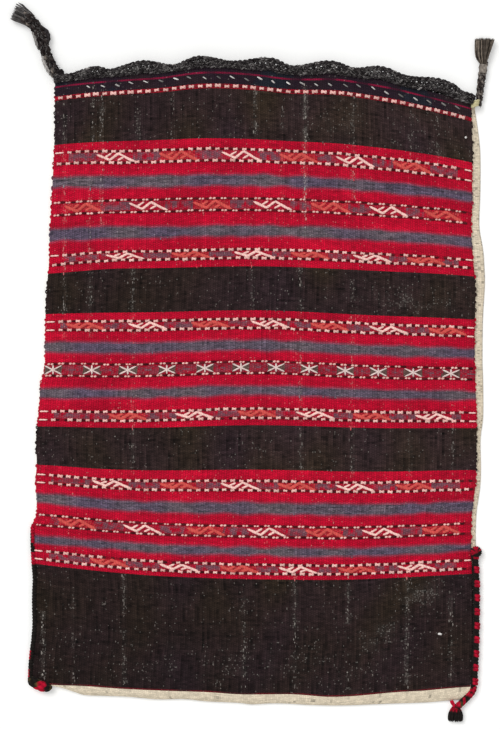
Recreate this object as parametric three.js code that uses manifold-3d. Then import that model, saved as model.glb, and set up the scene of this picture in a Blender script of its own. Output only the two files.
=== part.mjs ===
// Woven feed bag, empty and lying flat: one length of wool cloth, folded at the foot and sewn at both sides,
// with an overcast edging round its mouth, a tie at each corner of the mouth and bound lower sides.
// Millimetres, +Z up. The plain back rests on z = 0, +Y points to the mouth, +X to the right of the front.
import * as THREE from 'three';
import { mergeVertices } from 'three/addons/utils/BufferGeometryUtils.js';
import Module from 'manifold-3d';

const wasm = await Module();
wasm.setup();

const { lerp, smoothstep } = THREE.MathUtils;

// Cloth: its outline as it lies
const FOOT_WIDTH = 438; // striped front, across the foot
const MOUTH_FLARE = 18; // how much narrower the mouth is, all of it at the left edge
const FLARE_START = 50; // distance from the mouth where the left edge begins to run out
const FLARE_END = 400; // distance from the mouth where the left edge is straight again
const RIGHT_BULGE = 4; // how far the right edge stands out at half length
const SIDE_SHOW = 8; // plain back that shows beyond the right edge of the front, at its widest
const SIDE_SHOW_ENDS = 3.6; // the same at the mouth and where the binding begins
const FOOT_SHOW = 11; // plain cloth that shows between the last band and the fold
const FOOT_SHOW_LEFT = 2.8; // the same at the left corner
const FOOT_TAPER = 200; // distance from the left edge over which that strip widens
const CORNER_ROUND = 10; // how far the corners of the fold are drawn in

// Cloth: its section
const FRONT_THICKNESS = 2.4;
const BACK_THICKNESS = 2.2;
const SELVEDGE_THICKNESS = 1.3; // outer edge of the plain back where it shows at the right
const POCKET_RISE = 10; // clear height of the pocket in its middle
const PILLOW = 0.6; // how the pocket swells from its seams: 1 as a plain arch, less is fuller
const FOLD_REACH = 70; // distance over which the pocket closes towards the fold
const FOLD_EDGE = 0.8; // height of the cloth's edge right at the fold
const SEAM_WIDTH = 9; // sewn margin along each side
const BROCADE_RIDGE = 0.6; // how far a brocaded band stands above the plain weave
const RIDGE_SLOPE = 0.8; // length of the slope at each side of such a ridge

// Cloth: how its weft lines run, as heights of their ends against their middles
const MOUTH_ARCH = 13.5;
const MOUTH_DROOP = 22; // further drop of the right end at the mouth
const FOOT_SAG = 11.5;
const FOOT_DROOP = 10;
const SAG_START = 310; // distance from the mouth where the lines begin to sag
const SAG_END = 525; // distance from the mouth where they sag in full
const WEFT_RIPPLE = 1.6;

// Cloth: widths of its bands, from the mouth to the foot
const HEM = 11.5;
const DOTTED_LINE = 4.5;
const DARK_BANDS = [49, 43.5, 43];
const STRIPE_GROUPS = [
  [8.5, 14, 14, 8.5, 13, 13.5, 14.5, 8.5, 12, 11.5, 8.5],
  [6, 10.5, 13.5, 8.5, 12, 13, 12, 8.5, 12, 11.5, 8.5],
  [10, 11, 12.5, 9, 12.5, 13, 9, 7, 9, 11, 5.5],
];
const STRIPE_KINDS = [
  'red', 'brocade', 'red', 'blue', 'red', 'brocade', 'red', 'blue', 'red', 'brocade', 'red',
];
const FOOT_BAND = 114;

// Mouth edging
const EDGING_HEIGHT = 14;
const EDGING_THICKNESS = 5.6;
const BACK_EDGING_HEIGHT = 11;
const BACK_EDGING_THICKNESS = 4.2;
const SCALLOP_PITCH = 57;
const SCALLOP_RISE = 2.6;
const SCALLOP_CROWN = 147; // distance of one crown from the left corner
const STITCH_PITCH = 9; // one overcast stitch of the edging
const STITCH_SWELL = 0.5;

// Ties: cord diameters, and routes measured from where they leave the edging
const LEFT_TIE_DIAMETER = 10;
const LEFT_TIE_SHIFT = 2; // how far in from the left corner the left tie stands on the edging
const LEFT_TIE_ROUTE = [[0, 0], [-0.5, 5], [-5, 15], [-9, 27], [-13, 38], [-19, 46], [-27, 53]];
const LEFT_TASSEL_LENGTH = 22;
const LEFT_TASSEL_WIDTH = 20;
const RIGHT_TIE_DIAMETER = 8;
const RIGHT_TIE_SEAT = 0.3; // how far up the edging's end the right tie begins
const RIGHT_TIE_ROUTE = [[0, 0], [2.1, 6.7], [4, 15], [5.8, 25], [7.2, 34]];
const WRAP_LENGTH = 8;
const WRAP_DIAMETER = 8.6;
const RIGHT_TASSEL_LENGTH = 24;
const RIGHT_TASSEL_WIDTH = 25;
const TASSEL_THICKNESS = 8;
const LEFT_TASSEL_LOCKS = 4;
const RIGHT_TASSEL_LOCKS = 5;
const LOCK_DEPTH = 0.2; // depth of the grooves between a tassel's locks, as a share of its radius
const TIP_DRAW = 0.8; // how far a tassel's tip is drawn together
const THREAD_PITCH = 2; // one turn of the wrapping thread
const THREAD_DEPTH = 0.4; // groove between its turns

// Side bindings
const BINDING_WIDTH = 9.6;
const BINDING_HEIGHT = 7.2;
const LEFT_BINDING_START = 464; // distance from the mouth
const RIGHT_BINDING_START = 478;
const WRAP_PITCH = 14; // one wound stitch of the bindings
const WRAP_SWELL = 0.12; // how far each wound stitch swells, as a share of the binding
const KNOT_LENGTH = 20; // binding carried round the left corner, along the fold
const TAIL_ROUTE = [[-8, -5], [-11.5, -11]]; // loose end, measured from where it leaves the right corner
const TUFT_LENGTH = 13;
const TUFT_WIDTH = 14;
const TUFT_LOCKS = 4;

// Gap that touching pieces keep
const CLEARANCE = 0.3;

// Fineness of the surfaces
const COLUMNS = 16;
const LONGEST_ROW = 24;
const POCKET_COLUMNS = 12;
const POCKET_ROWS = 12;
const SEAM_CROWDING = 0.6; // how much closer the columns stand at the seams
const STRIP_COLUMNS = [0.05, 0.6, 1]; // shares of the plain side strip
const FOLD_ROWS = [0.4, 0.75, 0.93, 1]; // shares of the rounded fold
const CORNER_ROWS = [0.75, 0.97];
const ROLL_SIDES = 8;
const CORD_SIDES = 10;
const STEPS_PER_STITCH = 2;
const STEPS_PER_WRAP = 4;
const STEPS_PER_THREAD = 3;
const BRUSH_STEPS = 6;
const SIDE_PER_LOCK = 4;
const SLIGHT = 1e-3; // small step along a line, for its direction

const PALETTE = {
  dark: '#2f2421',
  red: '#b5122b',
  blue: '#5a5868',
  brocade: '#9a4a48',
  hem: '#22222e',
  dotted: '#c8837f',
  cream: '#d6ceb4',
  inside: '#6b4a42',
};
const KINDS = Object.keys(PALETTE);

// The bands of the front, each with its kind and its width.
function listBands() {
  const bands = [
    { kind: 'hem', width: HEM },
    { kind: 'dotted', width: DOTTED_LINE },
  ];
  STRIPE_GROUPS.forEach((widths, group) => {
    bands.push({ kind: 'dark', width: DARK_BANDS[group] });
    widths.forEach((width, place) => bands.push({ kind: STRIPE_KINDS[place], width }));
  });
  bands.push({ kind: 'dark', width: FOOT_BAND });
  return bands;
}

const BANDS = listBands();
const FRONT_LENGTH = BANDS.reduce((sum, band) => sum + band.width, 0);
const CLOTH_LENGTH = FRONT_LENGTH + FOOT_SHOW;

// Left and right edge of the striped front at a distance from the mouth.
function leftEdge(along) {
  return -FOOT_WIDTH / 2 + MOUTH_FLARE * (1 - smoothstep(along, FLARE_START, FLARE_END));
}

function rightEdge(along) {
  return FOOT_WIDTH / 2 + RIGHT_BULGE * Math.sin(Math.PI * along / FRONT_LENGTH) ** 2;
}

// Width of the plain back that shows at the right: narrow at the mouth and where the binding holds it.
function sideShow(along) {
  const share = Math.min(Math.max(along / RIGHT_BINDING_START, 0), 1);
  return lerp(SIDE_SHOW_ENDS, SIDE_SHOW, Math.sin(Math.PI * share));
}

// Width of the plain cloth that shows at the foot: it tapers off towards the left.
function footShow(across) {
  return lerp(FOOT_SHOW_LEFT, FOOT_SHOW, smoothstep(across * FOOT_WIDTH, 0, FOOT_TAPER));
}

// How far a weft line lies below its middle: arched at the mouth, sagging at the foot, lower at the right.
function weftDrop(across, along) {
  const share = along / FRONT_LENGTH;
  const towardsMouth = Math.max(1 - share, 0) ** 3;
  const towardsFoot = smoothstep(along, SAG_START, SAG_END);
  const edge = MOUTH_ARCH * towardsMouth - FOOT_SAG * towardsFoot;
  const droop = MOUTH_DROOP * towardsMouth + FOOT_DROOP * towardsFoot;
  const ripple = WEFT_RIPPLE * Math.cos(4 * Math.PI * across) * Math.sin(Math.PI * share);
  return edge * (2 * across - 1) ** 2 + droop * (across ** 3 - 0.5 ** 3) - ripple;
}

function weftHeight(across, along) {
  return CLOTH_LENGTH / 2 - along - weftDrop(across, along);
}

// Clear height of the pocket: none at the seams and the fold, full in the middle and at the mouth.
function pocketGap(across, along) {
  const pillow = Math.max(4 * across * (1 - across), 0) ** PILLOW;
  return POCKET_RISE * pillow * Math.tanh((CLOTH_LENGTH - along) / FOLD_REACH);
}

// A point of the outer skin. A column lies across the front or out on the plain side strip; a row lies down the
// front or on the rounded fold; grow moves the skin out, for cutting what lies against it.
function skinPoint(column, row, top, grow = 0) {
  const { across, out } = column;
  const { along, lift, fold } = row;
  const spread = lerp(leftEdge(along), rightEdge(along), across) + out * sideShow(along);
  const drawnIn = CORNER_ROUND * (1 - Math.sqrt(1 - fold ** 2)) / (FOOT_WIDTH / 2);
  const atLeft = across === 0 ? -grow : 0;
  const atRight = across === 1 ? grow : 0;
  const x = spread * (1 - drawnIn) + atLeft + atRight;
  const y = weftHeight(across, along) - fold * (footShow(across) + grow);
  const full = out > 0
    ? lerp(BACK_THICKNESS, SELVEDGE_THICKNESS, out)
    : BACK_THICKNESS + pocketGap(across, along) + FRONT_THICKNESS + lift;
  const height = FOLD_EDGE + (full - FOLD_EDGE) * Math.sqrt(1 - fold ** 2);
  return new THREE.Vector3(x, y, top ? height + grow : -BACK_THICKNESS);
}

// Columns of the skin: closer together at the seams, then the step down to the side strip and its edge.
function skinColumns(count) {
  const columns = [];
  for (let i = 0; i <= count; i += 1) {
    const across = (1 - Math.cos(Math.PI * i / count)) / 2;
    columns.push({ across: lerp(i / count, across, SEAM_CROWDING), out: 0 });
  }
  for (const out of STRIP_COLUMNS) columns.push({ across: 1, out });
  return columns;
}

// Rows of the skin and the kind of cloth below each: brocaded bands are ridges, the fold is a rounded edge.
function skinRows() {
  const rows = [{ along: 0, lift: 0, fold: 0 }];
  let start = 0;
  for (const { kind, width } of BANDS) {
    const end = start + width;
    if (kind === 'brocade' || kind === 'dotted') {
      rows.at(-1).kind = kind;
      rows.push({ along: start + RIDGE_SLOPE, lift: BROCADE_RIDGE, fold: 0, kind });
      rows.push({ along: end - RIDGE_SLOPE, lift: BROCADE_RIDGE, fold: 0, kind });
      rows.push({ along: end, lift: 0, fold: 0 });
    } else {
      const parts = Math.ceil(width / LONGEST_ROW);
      for (let part = 1; part <= parts; part += 1) {
        rows.at(-1).kind = kind;
        rows.push({ along: start + width * part / parts, lift: 0, fold: 0 });
      }
    }
    start = end;
  }
  rows.at(-1).kind = 'cream';
  for (const fold of FOLD_ROWS) rows.push({ along: FRONT_LENGTH, lift: 0, fold, kind: 'cream' });
  return rows;
}

// Positions and triangles of a geometry with each shared corner kept once.
function bareMesh(geometry) {
  geometry.deleteAttribute('normal');
  geometry.deleteAttribute('uv');
  return mergeVertices(geometry);
}

// A closed slab over a net of columns and rows. place gives a corner its point, kindOf a top triangle its kind.
function netSolid(columns, rows, place, kindOf) {
  const mesh = bareMesh(new THREE.BoxGeometry(1, 1, 1, columns.length - 1, rows.length - 1, 1));
  const unit = mesh.getAttribute('position');
  const vertProperties = new Float32Array(3 * unit.count);
  const corners = [];
  for (let i = 0; i < unit.count; i += 1) {
    const column = Math.round((unit.getX(i) + 0.5) * (columns.length - 1));
    const row = Math.round((0.5 - unit.getY(i)) * (rows.length - 1));
    const top = unit.getZ(i) > 0;
    corners.push({ column, row, top });
    place(columns[column], rows[row], top).toArray(vertProperties, 3 * i);
  }
  const triVerts = new Uint32Array(mesh.index.array);
  const faceID = new Uint32Array(triVerts.length / 3);
  for (let face = 0; face < faceID.length; face += 1) {
    const ends = [0, 1, 2].map((k) => corners[triVerts[3 * face + k]]);
    const column = columns[Math.max(...ends.map((end) => end.column))];
    const row = rows[Math.min(...ends.map((end) => end.row))];
    faceID[face] = KINDS.indexOf(ends.every((end) => end.top) ? kindOf(column, row) : 'cream');
  }
  return new wasm.Manifold(new wasm.Mesh({ numProp: 3, vertProperties, triVerts, faceID }));
}

// A closed roll. place takes the share of its length and a point of its unit section, sideways and up.
function rollSolid(steps, sides, place) {
  const mesh = bareMesh(new THREE.CylinderGeometry(1, 1, 1, sides, steps));
  const unit = mesh.getAttribute('position');
  const vertProperties = new Float32Array(3 * unit.count);
  for (let i = 0; i < unit.count; i += 1) {
    place(unit.getY(i) + 0.5, unit.getX(i), unit.getZ(i)).toArray(vertProperties, 3 * i);
  }
  const triVerts = new Uint32Array(mesh.index.array);
  return new wasm.Manifold(new wasm.Mesh({ numProp: 3, vertProperties, triVerts }));
}

// Evenly spaced values from first to last.
function evenly(first, last, parts) {
  return Array.from({ length: parts + 1 }, (_, i) => lerp(first, last, i / parts));
}

// The inside of the bag, run out past the mouth so that it cuts the cloth open there.
function pocketSolid() {
  const seam = SEAM_WIDTH / FOOT_WIDTH;
  const columns = evenly(seam, 1 - seam, POCKET_COLUMNS);
  const rows = evenly(-SEAM_WIDTH, FRONT_LENGTH - SEAM_WIDTH, POCKET_ROWS);
  const place = (across, along, top) => new THREE.Vector3(
    lerp(leftEdge(along), rightEdge(along), across),
    weftHeight(across, along),
    BACK_THICKNESS + (top ? pocketGap(across, along) : 0),
  );
  return netSolid(columns, rows, place, () => 'inside');
}

// All that lies below the flat underside.
function groundSolid() {
  const mesh = bareMesh(new THREE.BoxGeometry(2 * FOOT_WIDTH, 2 * CLOTH_LENGTH, 4 * BACK_THICKNESS));
  mesh.translate(0, 0, -2 * BACK_THICKNESS);
  const triVerts = new Uint32Array(mesh.index.array);
  const faceID = new Uint32Array(triVerts.length / 3).fill(KINDS.indexOf('cream'));
  const vertProperties = mesh.getAttribute('position').array;
  return new wasm.Manifold(new wasm.Mesh({ numProp: 3, vertProperties, triVerts, faceID }));
}

// The cloth: its outer skin, cut flat below, with the pocket cut out of it.
function clothSolid() {
  const kindOf = (column, row) => (column.out > 0 ? 'cream' : row.kind);
  const skin = netSolid(skinColumns(COLUMNS), skinRows(), skinPoint, kindOf);
  return skin.subtract(groundSolid()).subtract(pocketSolid());
}

// The room that the cloth takes up, with the clearance that its neighbours keep.
function clothRoom() {
  const rows = skinRows().map((row) => ({ ...row, lift: BROCADE_RIDGE }));
  const place = (column, row, top) => skinPoint(column, row, top, CLEARANCE);
  return netSolid(skinColumns(COLUMNS), rows, place, () => 'dark');
}

// A point of the cloth's mouth line, from its left corner to its right one.
function mouthPoint(across) {
  return new THREE.Vector2(lerp(leftEdge(0), rightEdge(0), across), weftHeight(across, 0));
}

// Direction of the mouth line, towards the right.
function mouthAhead(across) {
  return mouthPoint(across + SLIGHT).sub(mouthPoint(across)).normalize();
}

const MOUTH_RUN = rightEdge(0) - leftEdge(0);

// A roll's section, as a share of its full size: smaller right at its two ends, so that they look rounded.
function endTaper(share) {
  return Math.sqrt(1 - 0.6 * Math.abs(2 * share - 1) ** 40);
}

// How far each overcast stitch of the edging swells.
function stitchSwell(share) {
  return STITCH_SWELL * Math.cos(2 * Math.PI * share * MOUTH_RUN / STITCH_PITCH);
}

// A point of the edging in plan: rise runs from 0 at the cloth to 1 at its scalloped outer line.
function edgingPoint(share, rise, height, scallop) {
  const ahead = mouthAhead(share);
  const crown = scallop * Math.cos(2 * Math.PI * (share * MOUTH_RUN - SCALLOP_CROWN) / SCALLOP_PITCH);
  const outwards = CLEARANCE + (height + crown + stitchSwell(share)) * endTaper(share) * rise;
  return mouthPoint(share).add(new THREE.Vector2(-ahead.y, ahead.x).multiplyScalar(outwards));
}

// One run of the mouth's edging, standing on the cloth's mouth line.
function edgingSolid(height, thickness, scallop, stepsPerStitch, floorAt) {
  const place = (share, side, up) => {
    const { x, y } = edgingPoint(share, (1 - side) / 2, height, scallop);
    return new THREE.Vector3(x, y, floorAt(share) + (thickness + stitchSwell(share)) * (1 + up) / 2);
  };
  const steps = Math.round(MOUTH_RUN / STITCH_PITCH) * stepsPerStitch;
  return rollSolid(steps, ROLL_SIDES, place);
}

// A tie lies on its side, so its middle runs one radius above the back.
function tieCurve(rootX, rootY, route, diameter) {
  return new THREE.CatmullRomCurve3(
    route.map(([x, y]) => new THREE.Vector3(rootX + x, rootY + y, diameter / 2)),
  );
}

function tieGeometry(curve, diameter) {
  const section = [];
  for (let i = 0; i < CORD_SIDES; i += 1) {
    const turn = 2 * Math.PI * i / CORD_SIDES;
    section.push(new THREE.Vector2(Math.cos(turn), Math.sin(turn)).multiplyScalar(diameter / 2));
  }
  const steps = Math.round(2 * curve.getLength() / diameter);
  const options = { steps, extrudePath: curve, bevelEnabled: false };
  return new THREE.ExtrudeGeometry(new THREE.Shape(section), options);
}

// A brush of loose locks, lying flat: grooved lengthwise, spreading from its root to its tip.
function brushSolid(root, direction, length, rootWidth, tipWidth, thickness, locks) {
  const ahead = new THREE.Vector2(...direction).normalize();
  const place = (share, side, up) => {
    const turn = Math.atan2(side, up);
    const groove = 1 - LOCK_DEPTH * share * (1 - Math.cos(locks * turn)) / 2;
    const tip = Math.sqrt(1 - TIP_DRAW * share ** 6);
    const sideways = side * groove * tip * lerp(rootWidth, tipWidth, share) / 2;
    return new THREE.Vector3(
      root.x + ahead.x * length * share + ahead.y * sideways,
      root.y + ahead.y * length * share - ahead.x * sideways,
      (1 + up * groove * tip) * thickness / 2,
    );
  };
  return rollSolid(BRUSH_STEPS, SIDE_PER_LOCK * locks, place);
}

// Thread wound round a tie, lying on its side.
function wrapSolid(root, ahead) {
  const turns = Math.round(WRAP_LENGTH / THREAD_PITCH);
  const place = (share, side, up) => {
    const groove = THREAD_DEPTH * (1 - Math.cos(2 * Math.PI * share * turns)) / 2;
    const radius = WRAP_DIAMETER / 2 - groove;
    return new THREE.Vector3(
      root.x + ahead.x * WRAP_LENGTH * share + ahead.y * side * radius,
      root.y + ahead.y * WRAP_LENGTH * share - ahead.x * side * radius,
      WRAP_DIAMETER / 2 + up * radius,
    );
  };
  return rollSolid(turns * STEPS_PER_THREAD, CORD_SIDES, place);
}

// A wound binding along a curve, cut where the cloth's edge lies inside it.
function bindingSolid(curve, room) {
  const wraps = Math.round(curve.getLength() / WRAP_PITCH);
  const place = (share, side, up) => {
    const base = curve.getPointAt(share);
    const ahead = curve.getTangentAt(share);
    const swell = 1 + WRAP_SWELL * Math.cos(2 * Math.PI * share * wraps);
    const taper = endTaper(share);
    const sideways = side * swell * taper * BINDING_WIDTH / 2;
    return new THREE.Vector3(
      base.x + ahead.y * sideways,
      base.y - ahead.x * sideways,
      (1 + up * taper) * swell * BINDING_HEIGHT / 2,
    );
  };
  return rollSolid(wraps * STEPS_PER_WRAP, ROLL_SIDES, place).subtract(room);
}

// Points of the cloth's outline down one side and round its corner.
function sideLine(column, start) {
  const rows = evenly(start, FRONT_LENGTH, 5).map((along) => ({ along, lift: 0, fold: 0 }));
  for (const fold of CORNER_ROWS) rows.push({ along: FRONT_LENGTH, lift: 0, fold });
  return rows.map((row) => skinPoint(column, row, true).setZ(0));
}

function geometryOf(solid) {
  const { vertProperties, triVerts } = solid.getMesh();
  const geometry = new THREE.BufferGeometry();
  geometry.setAttribute('position', new THREE.BufferAttribute(vertProperties, 3));
  geometry.setIndex(new THREE.BufferAttribute(triVerts, 1));
  return geometry;
}

// The cloth's geometry with one flat colour for each band.
function bandedGeometry(solid) {
  const { faceID } = solid.getMesh();
  const geometry = geometryOf(solid).toNonIndexed();
  const colours = [];
  for (const kind of faceID) {
    const colour = new THREE.Color(PALETTE[KINDS[kind]]).toArray();
    colours.push(...colour, ...colour, ...colour);
  }
  geometry.setAttribute('color', new THREE.Float32BufferAttribute(colours, 3));
  return geometry;
}

const bag = new THREE.Group();

function addPiece(name, geometry, settings) {
  geometry.computeVertexNormals();
  const mesh = new THREE.Mesh(geometry, new THREE.MeshStandardMaterial({ metalness: 0, ...settings }));
  mesh.name = name;
  bag.add(mesh);
}

const room = clothRoom();
const marledHair = { color: '#3b3a38', roughness: 0.95 };
const darkWool = { color: '#231c1c', roughness: 0.9 };

addPiece('bag_cloth', bandedGeometry(clothSolid()), { color: '#ffffff', vertexColors: true, roughness: 0.92 });

const frontEdgingFloor = (across) => Math.max(
  BACK_THICKNESS + pocketGap(across, 0), BACK_EDGING_THICKNESS + STITCH_SWELL + CLEARANCE,
);
const frontEdging = edgingSolid(
  EDGING_HEIGHT, EDGING_THICKNESS, SCALLOP_RISE, STEPS_PER_STITCH, frontEdgingFloor,
);
const backEdging = edgingSolid(BACK_EDGING_HEIGHT, BACK_EDGING_THICKNESS, 0, 1, () => 0);
addPiece('front_mouth_edging', geometryOf(frontEdging), marledHair);
addPiece('back_mouth_edging', geometryOf(backEdging), marledHair);

const leftTieShare = (LEFT_TIE_SHIFT + LEFT_TIE_DIAMETER / 2) / MOUTH_RUN;
const leftTieSeat = edgingPoint(leftTieShare, 1, EDGING_HEIGHT, SCALLOP_RISE);
const leftTie = tieCurve(
  leftEdge(0) + LEFT_TIE_SHIFT, leftTieSeat.y + CLEARANCE, LEFT_TIE_ROUTE, LEFT_TIE_DIAMETER,
);
const leftTieEnd = leftTie.getTangent(1);
const leftTasselRoot = leftTie.getPoint(1).addScaledVector(leftTieEnd, CLEARANCE);
addPiece('left_tie', tieGeometry(leftTie, LEFT_TIE_DIAMETER), marledHair);
addPiece('left_tie_tassel', geometryOf(brushSolid(
  leftTasselRoot, [leftTieEnd.x, leftTieEnd.y],
  LEFT_TASSEL_LENGTH, LEFT_TIE_DIAMETER, LEFT_TASSEL_WIDTH, TASSEL_THICKNESS, LEFT_TASSEL_LOCKS,
)), marledHair);

const rightTieRoot = edgingPoint(1, RIGHT_TIE_SEAT, EDGING_HEIGHT, SCALLOP_RISE)
  .addScaledVector(mouthAhead(1), CLEARANCE + RIGHT_TIE_DIAMETER / 2);
const rightTie = tieCurve(rightTieRoot.x, rightTieRoot.y, RIGHT_TIE_ROUTE, RIGHT_TIE_DIAMETER);
const rightTieEnd = rightTie.getTangent(1);
const wrapRoot = rightTie.getPoint(1).addScaledVector(rightTieEnd, CLEARANCE);
const rightTasselRoot = wrapRoot.clone().addScaledVector(rightTieEnd, WRAP_LENGTH + CLEARANCE);
addPiece('right_tie', tieGeometry(rightTie, RIGHT_TIE_DIAMETER), marledHair);
addPiece('right_tie_wrap', geometryOf(wrapSolid(wrapRoot, rightTieEnd)), { color: '#b9b4ae', roughness: 0.9 });
addPiece('right_tie_tassel', geometryOf(brushSolid(
  rightTasselRoot, [rightTieEnd.x, rightTieEnd.y],
  RIGHT_TASSEL_LENGTH, RIGHT_TIE_DIAMETER, RIGHT_TASSEL_WIDTH, TASSEL_THICKNESS, RIGHT_TASSEL_LOCKS,
)), marledHair);

const leftLine = sideLine({ across: 0, out: 0 }, LEFT_BINDING_START);
const leftFold = { along: FRONT_LENGTH, lift: 0, fold: 1 };
for (const part of [0.5, 1]) {
  leftLine.push(skinPoint({ across: KNOT_LENGTH * part / FOOT_WIDTH, out: 0 }, leftFold, true).setZ(0));
}
const leftBinding = new THREE.CatmullRomCurve3(leftLine);
addPiece('left_side_binding', geometryOf(bindingSolid(leftBinding, room)), darkWool);

const rightLine = sideLine({ across: 1, out: 1 }, RIGHT_BINDING_START);
const tailRoot = rightLine.at(-1);
for (const [x, y] of TAIL_ROUTE) rightLine.push(tailRoot.clone().add(new THREE.Vector3(x, y, 0)));
const rightBinding = new THREE.CatmullRomCurve3(rightLine);
addPiece('right_side_binding', geometryOf(bindingSolid(rightBinding, room)), darkWool);

const tailEnd = rightBinding.getTangentAt(1);
const tuftRoot = rightBinding.getPointAt(1).addScaledVector(tailEnd, CLEARANCE);
addPiece('right_corner_tuft', geometryOf(brushSolid(
  tuftRoot, [tailEnd.x, tailEnd.y], TUFT_LENGTH, BINDING_WIDTH / 2, TUFT_WIDTH, BINDING_HEIGHT, TUFT_LOCKS,
)), darkWool);

export default bag;
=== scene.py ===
"""Woven feed bag: the looks of the part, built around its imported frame.

The cloth with its brocade, the mouth's edging, the ties and the bindings stand for the frame's plain
soft solids. A place on the cloth is given by its share across the striped front and by its distance
along it from the mouth.
"""

import math
import random
from collections import namedtuple

import bpy
import numpy as np
from bpy.props import FloatProperty, FloatVectorProperty, PointerProperty
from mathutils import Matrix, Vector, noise


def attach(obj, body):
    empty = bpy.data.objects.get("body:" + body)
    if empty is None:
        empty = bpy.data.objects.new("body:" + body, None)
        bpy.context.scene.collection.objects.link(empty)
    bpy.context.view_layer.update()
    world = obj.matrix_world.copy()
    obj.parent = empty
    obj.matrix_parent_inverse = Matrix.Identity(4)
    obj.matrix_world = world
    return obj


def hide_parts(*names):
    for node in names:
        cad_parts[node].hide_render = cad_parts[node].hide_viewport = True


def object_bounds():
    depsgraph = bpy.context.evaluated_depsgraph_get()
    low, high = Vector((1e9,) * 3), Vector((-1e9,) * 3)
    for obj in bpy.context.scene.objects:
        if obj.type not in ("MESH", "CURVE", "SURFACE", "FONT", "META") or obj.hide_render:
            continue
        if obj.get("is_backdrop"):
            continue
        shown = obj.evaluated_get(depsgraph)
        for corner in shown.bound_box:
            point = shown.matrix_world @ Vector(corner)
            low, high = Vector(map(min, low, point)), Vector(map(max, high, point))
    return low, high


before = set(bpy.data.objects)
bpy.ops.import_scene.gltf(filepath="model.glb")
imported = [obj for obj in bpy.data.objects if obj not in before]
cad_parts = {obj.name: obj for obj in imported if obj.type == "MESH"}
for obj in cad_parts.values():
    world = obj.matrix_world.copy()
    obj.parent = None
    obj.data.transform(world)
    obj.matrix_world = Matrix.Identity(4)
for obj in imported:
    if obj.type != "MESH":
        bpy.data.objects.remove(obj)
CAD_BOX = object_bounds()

bl_info = {
    "name": "Woven feed bag",
    "version": (1, 0, 0),
    "blender": (4, 5, 0),
    "location": "3D View > Sidebar > Feed bag",
    "description": "Builds the cloth, yarn work and stage of a flat-woven feed bag",
    "category": "Add Mesh",
}

MM = 0.001
CURVE_STEPS = 12  # between two given points of a smooth line

FOOT_WIDTH = 438 * MM  # of the striped front
# The cloth's outline as it lies, in millimetres: distance along the front, and x of its edges there
LEFT_EDGE = (
    (-20, -199.5), (60, -200), (105, -202), (150, -204.5), (180, -205.5), (210, -208), (245, -209.3),
    (288, -209.8), (305, -213.6), (335, -216), (364, -218.5), (394, -217.8), (412, -219), (440, -217.8),
    (452, -218.4), (462, -221.6), (490, -221.4), (507, -220.4), (522, -219.4), (537, -220.2),
    (567, -219.8), (580, -221.8), (597, -223.4), (612, -224.2), (640, -224.4),
)
RIGHT_EDGE = (
    (-20, 218.5), (20, 218.2), (50, 219.3), (80, 218.8), (110, 218.8), (140, 217.6), (172, 219.6),
    (205, 222), (270, 221), (300, 222), (348, 223.3), (396, 222.8), (412, 222), (426, 220.2),
    (441, 218.3), (470, 217.6), (520, 219.5), (570, 219.5), (640, 219),
)
# Width of the plain back that shows at the right, along the front, and at the foot, by x
SIDE_SHOW = (
    (-20, 3), (0, 3.5), (25, 6.4), (50, 7.6), (72, 8.3), (89, 8.4), (115, 7.9), (140, 8.7), (165, 11),
    (190, 10.3), (230, 8.1), (275, 8.2), (335, 6.9), (362, 4), (400, 4.9), (480, 4.8), (560, 4),
    (640, 3.6),
)
FOOT_SHOW = (
    (-240, 1.5), (-205, 1.5), (-192, 3.5), (-180, 7.5), (-168, 10), (-130, 8.6), (-98, 9.7), (-70, 8.5),
    (-45, 10), (-15, 9.2), (0, 10.5), (20, 9.7), (50, 10.2), (75, 9.2), (110, 10.3), (140, 12),
    (170, 12.8), (190, 13.5), (240, 13),
)
STRIP_WIDTH = 8 * MM  # of the plain strip in the weave's own measure
CORNER_ROUND = 10 * MM  # how far the corners of the foot are drawn in at the fold

# The cloth's section
FRONT_THICKNESS = 2.4 * MM
BACK_THICKNESS = 2.2 * MM
SELVEDGE_THICKNESS = 1.3 * MM
POCKET_RISE = 8 * MM
PILLOW = 0.6  # the lower, the flatter is the top of the swell
FOLD_REACH = 70 * MM
FOLD_MIDDLE = 1.6 * MM
SEAM_WIDTH = 9 * MM
SEAM_MIDDLE = 2.3 * MM
SEAM_STEP = 0.2 * MM  # of the front's edge above the back at the right
SEAM_GAP = 0.5 * MM  # between the pocket's ceiling and floor at their seams
BROCADE_RIDGE = 0.5 * MM

# The cloth's mesh
EDGE_ROUND = 2 * MM
EDGE_COLUMNS = (0, 0.6, 1.5)  # in millimetres from an edge of the front
STRIP_COLUMNS = (0.06, 0.35, 0.65, 0.9, 1.0)  # as shares of the plain strip
FOLD_ROWS = (0, 0.35, 0.65, 0.85, 0.96, 1)  # as shares of the plain cloth at the foot
BROCADE_ROWS = 6  # between the dotted lines of a brocaded band
BACK_STEP = 6  # columns of the front for one of the back
LINING_ROWS = 14

# How the cloth's weft lines run
MOUTH_ARCH = 13.5 * MM
MOUTH_DROOP = 22 * MM
FOOT_SAG = 11.5 * MM
FOOT_DROOP = 10 * MM
SAG_START = 310 * MM
SAG_END = 525 * MM
WEFT_RIPPLE = 1.6 * MM
CORNER_DROP = 3.5 * MM  # of the left corner of the foot
CORNER_START = 500 * MM
CORNER_REACH = 0.15  # as a share across
SWAY_REACH = 0.18  # as a share across
WAVE_FADE = 12  # how fast the waves of the mouth and of the foot die away
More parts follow.
